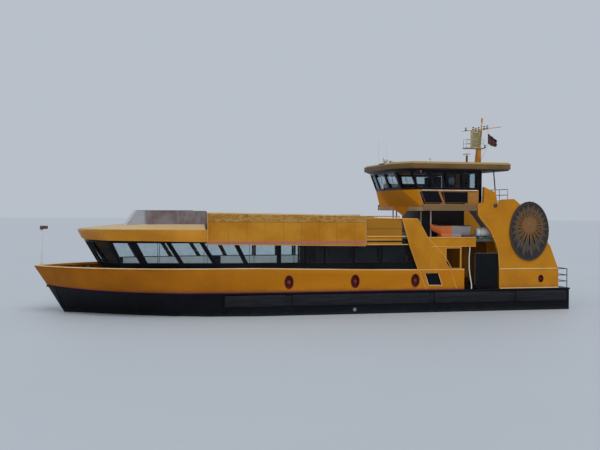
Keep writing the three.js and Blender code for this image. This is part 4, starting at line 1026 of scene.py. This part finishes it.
CHIN_BAND = ((0, -6.07, -6.13), (1.93, -5.97, -6.03), (3.94, -5.885, -5.935))
LOOK_DOWN = (("fore", [(-5.87, 6.69), (-6.88, 6.69), (-7.15, 6.06), (-6.12, 6.06)]),
             ("aft", [(-7.16, 6.66), (-8.64, 6.66), (-8.64, 6.07), (-7.28, 6.07)]))
for name, side in SIDES:
    made(f"chin_{name}", orange_wall,
         (plate, [(-6.045, 0, 5.86), (-5.985, side * 1.75, 5.86), (-6.165, 0, 5.28)], (-0.02, 0, 0)))
    made(f"chin_band_{name}", chin_bone, *[
        (plate, [(x0, side * y0, 5.845), (x1, side * y1, 5.845), (low1, side * y1, 5.61),
                 (low0, side * y0, 5.61)], (-0.03, 0, 0))
        for (y0, x0, low0), (y1, x1, low1) in zip(CHIN_BAND, CHIN_BAND[1:])])
    for tag, pane in LOOK_DOWN:
        edge = on_side(side, 3.698, pane)
        made(f"look_down_pane_{tag}_{name}", frame_black, (plate, edge, (0, side * 0.006, 0)))
        made(f"look_down_frame_{tag}_{name}", pale_cream, (run, [*edge, *edge[:2]], 0.016, 6), smooth=50)
    edge = on_side(side, 3.88, ((-6.03, 2.16), (-6.82, 2.16), (-7.04, 1.49), (-6.25, 1.50)))
    rim = [p + Vector((0, side * 0.072, 0)) for p in edge]
    made(f"low_window_pane_{name}", frame_black, (plate, edge, (0, side * 0.012, 0)))
    made(f"low_window_rim_{name}", pale_edge, (run, [*rim, *rim[:2]], 0.018, 6), smooth=50)
    post = on_side(side, 3.90, ((-8.70, 3.45), (-8.66, 3.0), (-8.67, 2.4), (-8.74, 1.9), (-8.82, 1.50)))
    made(f"gate_post_{name}", white_paint, (run, post, 0.032, 10),
         (bar, post[-1], (-8.82, side * 3.90, 1.26), 0.032, 10),
         (bar, post[0], (-8.70, side * 3.90, 3.62), 0.032, 10), smooth=45)
    lamp = (-10.2, side * SKIN, 5.93)
    made(f"fin_lamp_{name}", black_trim, (turned, [
        (0, 0), (0.11, 0), (0.11, 0.02), (0.085, 0.03), (0.08, 0.012), (0, 0.010)], lamp, FACING[side], 24),
        smooth=40)
    made(f"fin_lamp_glass_{name}", smoked_lens, (turned, [
        (0, 0.004), (0.078, 0.004), (0.06, 0.022), (0.03, 0.029), (0, 0.031)], lamp, FACING[side], 24),
        smooth=60)

# Inside the saloon: pale linings below the sills, given a painted glow, ceiling with lamps, poles and moulded
# seats


def behind_glass(side, corners, x_in=0.0):
    """One flat panel a hand's breadth inside the windows."""
    return plate, [Vector((p.x - x_in, side * (p.y - 0.10), p.z)) for p in corners], (0, -side * 0.02, 0)


for name, side in SIDES:
    made(f"saloon_lining_{name}", glowing_lining, *[
        behind_glass(side, [saloon.at_x(x, z, (facet,))
                            for x, z in ((x0, 2.12), (x1, 2.12), (x1, 2.78), (x0, 2.78))])
        for facet, x0, x1 in ((8, 10.12, 4.35), (9, 4.25, -5.6))])
    # Painted shade and reflection: a brown sheet behind the front corner panes darkens them.
    made(f"saloon_shade_sheet_{name}", shade_sheet, behind_glass(side, saloon.pane(7, 0.06, 0.94, 2.7, 3.98), 0.12))
well_aft, well_fore, well_in, well_out = -5.0, -1.63, -0.31, 1.01
under_deck = [p.lerp(Vector((3, 0, p.z)), 0.03) for p in saloon.head]
made("saloon_ceiling", ceiling_white,
     (plate, [Vector((max(p.x, well_fore), p.y, CEILING)) for p in under_deck], (0, 0, 0.01)),
     (block, (-5.5, -3.7, CEILING), (well_fore, well_in, CEILING + 0.01), 0.001, 1),
     (block, (-5.5, well_out, CEILING), (well_fore, 3.7, CEILING + 0.01), 0.001, 1),
     (block, (-5.5, well_in, CEILING), (well_aft, well_out, CEILING + 0.01), 0.001, 1))
made("saloon_lamps", ceiling_lamp, *[
    (block, (x - 0.6, y - 0.07, 3.985), (x + 0.6, y + 0.07, 4.034), 0.02)
    for x in (8.6, 6.2, 3.8, 1.4) for y in (-2.3, 0, 2.3)], smooth=50)
made("saloon_poles", steel, *[
    (bar, (x, y, SALOON_FLOOR), (x, y, 4.035), 0.019, 10)
    for x in (8.26, 5.62, 2.98, 0.34) for y in (-0.72, 0.72)], smooth=40)
# Painted shade: a near-black front on the far room, standing in for the shade inside.
made("far_room_front", shade_black_room, (block, (-0.552, 1.06, 1.40), (-0.535, 3.58, 4.02), 0.003, 1),
     (block, (-0.552, -3.58, 1.40), (-0.535, -1.86, 4.02), 0.003, 1))


def seat_shells(bm, rows, z, back):
    """Moulded seats side by side along each row, on the row's frame."""
    for x, y0, y1 in rows:
        count = max(1, round(abs(y1 - y0) / 0.53))
        pitch = (y1 - y0) / count
        for i in range(count):
            a, b = sorted((y0 + pitch * (i + 0.04), y0 + pitch * (i + 0.96)))
            block(bm, (x - 0.17, a, z + 0.452), (x + 0.225, b, z + 0.495), 0.02)
            block(bm, (x - 0.178, a, z + 0.50), (x - 0.135, b, z + back + 0.02), 0.02)


saloon_rows = []
for x in [8.7 - i * 0.88 for i in range(10)]:
    out = min(3.55, 2.68 + 0.1678 * (9.95 - x))
    saloon_rows += [(x, 0.8, out), (x, -out, -0.8)]
deck_rows = [(6.9 - i * 1.15, y0, y1) for i in range(7) for y0, y1 in ((0.8, 3.0), (-3.0, -0.8))]
made("saloon_seats", seat_plastic, (seat_shells, saloon_rows, SALOON_FLOOR, 0.9), smooth=45)
made("deck_seats", seat_plastic, (seat_shells, deck_rows, UPPER_DECK, 0.85), smooth=45)

# Foredeck: knees and stringer inside the bulwark, hatch grip, winch fittings and the staff's lantern

for name, side in SIDES:
    knees = [(x, plan_half(x, 14.50) - 0.24) for x in [10.9 + 0.4 * k for k in range(7)]]
    made(f"bulwark_knees_{name}", yellow_plain, *[
        (plate, [(x, side * y, 2.065), (x, side * (y - 0.2), 2.065), (x, side * y, 2.46)], (0.012, 0, 0))
        for x, y in knees])
    rail = [(x, side * (plan_half(x, 14.85) - 0.19), 2.47) for x in (10.4, 11.2, 12.0, 12.8, 13.4, 13.8)]
    made(f"bulwark_stringer_{name}", yellow_plain, (run, rail, 0.03), smooth=45)
grip = [(12.85, y, z) for y, z in ((-0.15, 2.118), (-0.15, 2.15), (0.15, 2.15), (0.15, 2.118))]
made("hatch_grip", steel, (run, grip, 0.01), body="foredeck_hatch", smooth=45)
made("staff_lantern", dark_red_lens, (turned, [
    (0, 4.50), (0.085, 4.50), (0.10, 4.53), (0.10, 4.68), (0.075, 4.71), (0, 4.72)], (14.53, 0, 0)),
    (block, (14.20, -0.07, 4.53), (14.50, 0.07, 4.71), 0.02), smooth=40)
made("staff_sleeve", white_paint, (bar, (14.53, 0, 2.45), (14.53, 0, 4.50), 0.034, 10),
     (bar, (14.53, 0, 2.445), (14.53, 0, 2.75), 0.05, 12), smooth=40)
made("winch_fittings", black_trim, (hoop, (12.08, -0.40, 2.32), 0.15, 0.02, "Y"),
     (hoop, (12.08, 0.40, 2.32), 0.15, 0.02, "Y"), (hoop, (12.08, 0, 2.32), 0.115, 0.012, "Y"),
     (bar, (12.08, 0.36, 2.32), (12.19, 0.36, 2.44), 0.014), smooth=45)

# Lobby and after deck: bulkhead doors, ports, lamps, rails and the ladder to the bridge deck


def ship_door(bm, x, out, y, z, wide=0.7, high=1.85):
    """A rounded steel door with clips and a grip, on a wall across the ship."""
    edge = y + wide / 2
    block(bm, (x, y - wide / 2, z), (x + out * 0.035, edge, z + high), 0.016, 3)
    block(bm, (x, y - wide / 2 - 0.05, z - 0.05), (x + out * 0.012, edge + 0.05, z + high + 0.05), 0.006, 1)
    for height in [z + high * k for k in (0.2, 0.5, 0.8)]:
        bar(bm, (x + out * 0.05, edge - 0.1, height), (x + out * 0.05, edge + 0.03, height - 0.06), 0.012, 6)
        bar(bm, (x, edge - 0.03, height), (x + out * 0.06, edge - 0.03, height), 0.014)


made("deckhouse_doors", orange_wall, (ship_door, -10.898, 1, 0.3, 1.42), (ship_door, -12.902, -1, -0.3, 1.42),
     smooth=40)
house_ports = [(x, side) for name, side in SIDES for x in (-11.3, -11.9, -12.5)]
made("deckhouse_port_rims", black_trim, *[
    (hoop, (x, side * 1.302, 2.9), 0.15, 0.018, "Y") for x, side in house_ports], smooth=45)
made("deckhouse_ports", frame_black, *[
    (turned, [(0, 0), (0.145, 0), (0.145, 0.006), (0, 0.008)], (x, side * 1.301, 2.9), FACING[side])
    for x, side in house_ports], smooth=45)
made("lobby_lamps", white_lens, *[
    (turned, [(0, 0), (0.13, 0), (0.13, -0.02), (0.09, -0.055), (0, -0.065)], (x, y, 3.898))
    for x in (-6.8, -8.2, -9.8, -13.0) for y in (-2.4, 2.4)], slot="white_plastic", smooth=50)


def railing(bm, points, foot, heights, radius=0.02, pitch=1.1):
    """Level rails through points, on posts set at a pitch between them."""
    for height in heights:
        run(bm, [(x, y, foot + height) for x, y in points], radius)
    for (x0, y0), (x1, y1) in zip(points, points[1:]):
        count = max(1, round(((x1 - x0) ** 2 + (y1 - y0) ** 2) ** 0.5 / pitch))
        for i in range(count + 1):
            x, y = x0 + (x1 - x0) * i / count, y0 + (y1 - y0) * i / count
            bar(bm, (x, y, foot), (x, y, foot + heights[-1]), radius * 1.1)


for name, x, y0, y1, foot in (("after_deck_rail", -13.24, -3.6, 3.6, AFT_DECK),
                              ("bridge_rail_port", -11.12, 3.6, 0.5, BRIDGE_DECK),
                              ("bridge_rail_starboard", -11.12, -0.5, -3.6, BRIDGE_DECK)):
    made(name, steel, (railing, [(x, y0), (x, y1)], foot, (0.35, 0.68, 1.0)), smooth=45)
treads = [(-12.35 + 1.13 * (k + 0.7) / 7.4, 4.085 + 1.775 * (k + 0.7) / 7.4) for k in range(7)]
made("bridge_ladder", galvanised,
     *[(bar, (-12.35, y, 4.085), (-11.22, y, 5.86), 0.03) for y in (-0.36, 0.36)],
     *[(bar, (-12.2, y, 5.0), (-11.22, y, 6.75), 0.018) for y in (-0.40, 0.40)],
     *[(block, (x - 0.09, -0.35, z - 0.012), (x + 0.09, 0.35, z + 0.012), 0.005, 1) for x, z in treads],
     smooth=45)

# Liferaft canisters, the rescue boat's fittings

canister = [(0, -0.415), (0.17, -0.41), (0.235, -0.385), (0.262, -0.33), (0.262, -0.025), (0.27, -0.02),
            (0.27, 0.02), (0.262, 0.025), (0.262, 0.33), (0.235, 0.385), (0.17, 0.41), (0, 0.415)]
for name, side in SIDES:
    x, y, z = -9.77, side * 3.2, 4.42
    shell = made(f"liferaft_canister_{name}", white_plastic, (turned, canister, (x, y, z), "X", 40),
                 smooth=35)
    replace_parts(shell, f"liferaft_{name}")
    made(f"liferaft_cradle_{name}", galvanised,
         *[(hoop, (x + dx, y, z), 0.267, 0.012) for dx in (-0.2, 0.2)],
         *[(block, (x + dx - 0.03, y - 0.25, 4.0815), (x + dx + 0.03, y + 0.25, 4.17), 0.01, 1)
           for dx in (-0.2, 0.2)],
         *[(block, (x - 0.32, y + dy - 0.02, 4.0815), (x + 0.32, y + dy + 0.02, 4.125), 0.008, 1)
           for dy in (-0.22, 0.22)], smooth=40)

softened("rescue_boat_hull", "rescue_boat", 0.05, 50, segments=3)
gunwale = [(-8.84, 2.96), (-8.0, 2.96), (-7.2, 2.965), (-6.75, 3.20), (-6.58, 3.35), (-6.75, 3.50),
           (-7.2, 3.735), (-8.0, 3.745), (-8.84, 3.745)]
made("rescue_boat_gunwale", black_trim, (run, [(x, y, 4.79) for x, y in gunwale], 0.022),
     *[(bar, (x, 3.1, 4.80), (x, 3.6, 4.80), 0.03) for x in (-8.1, -7.3)], smooth=45)

# Wheelhouse: cabinets and lockers inside, wipers, running lights, gutter, searchlight and horns

# Painted shade: the cabinets are near-black, standing in for the shade inside the wheelhouse.
made("wheelhouse_cabinets", shade_black_room, (block, (-8.75, -3.36, 5.96), (-6.05, -2.95, 7.30), 0.02),
     (block, (-9.17, -3.36, 5.96), (-8.78, -1.42, 7.72), 0.02),
     (block, (-9.17, 2.04, 5.96), (-8.85, 2.80, 7.72), 0.02))
made("wheelhouse_aft_posts", frame_black, *[
    (block, (-9.53, side * 3.36, 5.856), (-9.33, side * 3.60, 7.985), 0.015) for name, side in SIDES])
steps = []
for facet, share in ((1, 0.5), (2, 0.26), (2, 0.74), (3, 0.5)):
    foot = house.at(facet, share, 6.86)
    tip = house.at(facet, share + 0.06, 7.5)
    out = (foot - Vector((-7.0, 0, 6.86))).normalized() * 0.035
    steps += [(bar, foot + out, tip + out, 0.008, 6),
              (bar, tip + out + Vector((0, 0, -0.25)), tip + out + Vector((0, 0, 0.2)), 0.010, 6),
              (knob, foot + out * 0.7, 0.035)]
made("wheelhouse_wipers", black_trim, *steps, smooth=45)
roof_edge = [(-4.53, 2.6), (-5.25, 4.0), (-11.09, 4.0), (-11.09, -4.0), (-5.25, -4.0), (-4.53, -2.6),
             (-4.53, 2.6)]
made("roof_gutter", roof_paint, *[
    (run, [(x, y, z) for x, y in roof_edge], radius) for z, radius in ((8.235, 0.022), (7.99, 0.016))],
    smooth=45)
for name, side, lens in (("port", 1, red_lens), ("starboard", -1, green_lens)):
    made(f"running_light_screen_{name}", black_trim,
         (block, (-5.95, side * 3.715, 7.93), (-5.55, side * 3.735, 7.70), 0.004, 1),
         (block, (-5.96, side * 3.72, 7.70), (-5.93, side * 3.86, 7.86), 0.004, 1))
    made(f"running_light_{name}", lens, (turned, [
        (0, -0.07), (0.055, -0.07), (0.06, -0.05), (0.06, 0.05), (0.055, 0.07), (0, 0.07)],
        (-5.80, side * 3.80, 7.78)), smooth=40)
made("searchlight", white_paint, (bar, (-5.5, -1.4, ROOF_TOP), (-5.5, -1.4, 8.5), 0.05, 12),
     (turned, [(0, -0.16), (0.09, -0.15), (0.15, -0.06), (0.155, 0.12), (0.14, 0.13), (0, 0.10)],
      (-5.5, -1.4, 8.68), "X", 24), (hoop, (-5.5, -1.4, 8.68), 0.17, 0.014, "Y", 16), smooth=40)
made("roof_domes", white_paint,
     (turned, [(0, 0), (0.16, 0), (0.20, 0.06), (0.20, 0.20), (0.17, 0.31), (0.09, 0.38), (0, 0.40)],
      (-8.6, -2.2, ROOF_TOP), "Z", 28), (bar, (-7.2, 1.6, ROOF_TOP), (-7.2, 1.6, 8.60), 0.018),
     (turned, [(0, 0.23), (0.06, 0.23), (0.075, 0.27), (0.05, 0.33), (0, 0.34)],
      (-7.2, 1.6, ROOF_TOP), "Z", 18), smooth=45)
made("horns", steel, *[
    (turned, [(0, -0.22), (0.03, -0.21), (0.032, 0.0), (0.05, 0.10), (0.09, 0.17), (0.085, 0.165), (0, 0.06)],
     (-5.3, y, 8.45), "X", 18) for y in (0.42, 0.62)],
     (block, (-5.5, 0.36, ROOF_TOP), (-5.3, 0.68, 8.40), 0.01, 1), smooth=40)

# Mast: lattice between the platform and the yard, rungs, lamps and the rounded scanner

steps = []
lattice = [(-10.50, 9.44), (-11.04, 9.44), (-11.12, 10.44), (-10.50, 10.44)]
for y in (-0.10, 0.10):
    steps.append((bead, [(x, y, z) for x, z in lattice], 0.022))
    for z0, z1 in ((9.44, 9.78), (9.78, 10.11), (10.11, 10.44)):
        steps += [(bar, (-10.50, y, z0), (-11.07, y, z1), 0.013, 6),
                  (bar, (-11.04, y, z0), (-10.50, y, z1), 0.013, 6)]
steps += [(bar, (x, -0.1, z), (x, 0.1, z), 0.013, 6) for x, z in lattice]
made("mast_lattice", lattice_paint, *steps, smooth=45)
made("mast_panel", lattice_paint, (block, (-11.02, -0.012, 9.50), (-10.54, 0.012, 10.38), 0.004, 1))
rungs = [(-11.0 - 0.108 * k * 0.3, 9.55 + 0.3 * k) for k in range(5)]
made("mast_rungs", galvanised, *[(bar, (x, -0.15, z), (x, 0.15, z), 0.012, 6) for x, z in rungs],
     *[(railing, [(-11.2, y), (-10.08, y)], MAST_PLATFORM, (0.25, 0.5), 0.012, 0.5) for y in (-0.24, 0.24)],
     (bar, (-10.05, -0.42, 10.44), (-10.05, 0.42, 10.44), 0.014, 6),
     (bar, (-12.3, -0.3, 10.73), (-12.3, 0.3, 10.73), 0.012, 6), smooth=45)
lamp_body = [(0, -0.09), (0.055, -0.09), (0.06, -0.07), (0.06, -0.045), (0.048, -0.04), (0.048, 0.04),
             (0.06, 0.045), (0.06, 0.07), (0.04, 0.09), (0, 0.09)]
lamp_glass = [(0, -0.038), (0.052, -0.038), (0.055, 0), (0.052, 0.038), (0, 0.038)]
spots = [(-10.12, 0.0, 10.55), (-11.14, 0.82, 10.64), (-11.14, -0.82, 10.64), (-10.6, 0.0, 10.60),
         (-11.3, 0.2, 9.52), (-11.14, 0.4, 10.64), (-11.14, -0.4, 10.64)]
made("mast_lamps", black_trim, *[(turned, lamp_body, spot, "Z", 16) for spot in spots], smooth=40)
made("mast_lamp_glasses", white_lens, *[(turned, lamp_glass, spot, "Z", 16) for spot in spots], smooth=50)
scanner = made("radar_array", white_paint, (block, (-10.26, -0.48, 9.0105), (-10.14, 0.48, 9.10), 0.03, 3),
               (turned, [(0, 8.9505), (0.055, 8.9505), (0.055, 8.98), (0.045, 9.02), (0, 9.02)],
                (-10.2, 0, 0)), body="radar_scanner", smooth=40)
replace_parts(scanner, "radar_scanner")

# Moving panels: ramp battens and grips, door panes and handles, hatch grips

for name, side in SIDES:
    y = side * 3.86
    made(f"ramp_battens_{name}", ramp_green, *[
        (block, (-10.34, side * 3.894, z - 0.012), (-9.10, side * 3.901, z + 0.012), 0.003, 1)
        for z in (1.75, 2.05, 2.35, 2.65, 2.95)], *[
        (block, (-10.34, side * 3.826, z - 0.015), (-9.10, side * 3.812, z + 0.015), 0.004, 1)
        for z in (1.6, 1.85, 2.1, 2.35, 2.6, 2.85, 3.1)], body=f"ramp_{name}")
    made(f"ramp_edges_{name}", galvanised,
         *[(bar, (x, y, 1.5), (x, y, 3.24), 0.016) for x in (-10.395, -9.045)],
         (bar, (-10.39, y, 3.243), (-9.05, y, 3.243), 0.012), body=f"ramp_{name}", smooth=45)
made("saloon_door_fittings", black_trim, (block, (-5.8825, -1.25, 2.25), (-5.8865, -0.65, 3.15), 0.002, 1),
     (bar, (-5.895, -0.42, 2.1), (-5.895, -0.42, 2.7), 0.010),
     *[(bar, (-5.884, -0.42, z), (-5.895, -0.42, z), 0.008, 6) for z in (2.15, 2.65)],
     body="saloon_door", smooth=40)
made("wheelhouse_door_pane", frame_black, (block, (-9.294, 0.66, 6.85), (-9.287, 1.14, 7.6), 0.002, 1),
     body="wheelhouse_door")
made("wheelhouse_door_handle", steel, (bar, (-9.288, 0.58, 6.8), (-9.325, 0.58, 6.8), 0.012),
     (bar, (-9.322, 0.58, 6.8), (-9.322, 0.70, 6.8), 0.011), body="wheelhouse_door", smooth=45)
made("engine_hatch_grips", steel, *[
    (run, [(x, y - 0.08, 1.290), (x, y - 0.08, 1.305), (x, y + 0.08, 1.305), (x, y + 0.08, 1.290)], 0.007, 6)
    for x in (-8.9, -7.9) for y in (-1.5, 1.5)], body="engine_hatch", smooth=45)

# Side fittings: fender bolts, water outlet, and the engines' covers

steps = []
for x0, x1 in ((-14.6, -11.48), (-11.12, -6.58), (-6.22, 1.47), (1.88, 4.2)):
    count = round((x1 - x0) / 0.65)
    for x in [x0 + (x1 - x0) * (k + 0.5) / count for k in range(count)]:
        steps += [(knob, (x, side * 4.050, z), 0.024, (1, 0.45, 1), 8, 4)
                  for z in (0.57, 1.04) for name, side in SIDES]
made("fender_bolts", black_trim, *steps, slot="fender_rubber", smooth=45)
made("water_outlet", grey_paint, (hoop, (-2.0, SKIN, 0.25), 0.085, 0.018, "Y"),
     (turned, [(0, 0), (0.08, 0), (0.08, 0.004), (0, 0.004)], (-2.0, 3.950, 0.25), "Y"),
     slot="bright_steel", smooth=45)
for name, side in SIDES:
    y = side * 1.025
    made(f"engine_covers_{name}", grey_paint, *[
        (block, (x - 0.11, y - 0.22, 0.452), (x + 0.11, y + 0.22, 0.56), 0.02)
        for x in (-8.5, -8.2, -7.9, -7.6, -7.3)],
        (bar, (-8.65, y + 0.3, 0.50), (-7.15, y + 0.3, 0.50), 0.045, 12), smooth=45)

# Studio: pale floor at the waterline, even sky light and one soft key


def set_studio():
    bm = bmesh.new()
    bmesh.ops.create_circle(bm, cap_ends=True, cap_tris=False, segments=96, radius=420)
    mesh = bpy.data.meshes.new("studio_floor")
    bm.to_mesh(mesh)
    bm.free()
    floor = bpy.data.objects.new("studio_floor", mesh)
    bpy.context.scene.collection.objects.link(floor)
    material, place = surface("pale_floor", 0.6)
    mesh.materials.append(material)
    dress(material, blended(noise(place, 0.08, 3.0), (0.52, 0.55, 0.58), (0.56, 0.59, 0.62)))
    world = bpy.data.worlds.new("even_sky")
    bpy.context.scene.world = world
    world.use_nodes = True
    sky = world.node_tree.nodes["Background"]
    feed_all(sky, {"Color": (0.78, 0.85, 0.95), "Strength": 0.62})
    for name, turn, strength, angle in (("soft_key", (38, 0, 200), 1.0, 40),
                                        ("soft_fill", (60, 0, 130), 0.3, 60)):
        light = bpy.data.lights.new(name, "SUN")
        light.energy = strength
        light.angle = radians(angle)
        lamp = bpy.data.objects.new(name, light)
        lamp.rotation_euler = [radians(part) for part in turn]
        bpy.context.scene.collection.objects.link(lamp)
    bpy.context.scene.view_settings.view_transform = "Standard"


set_studio()
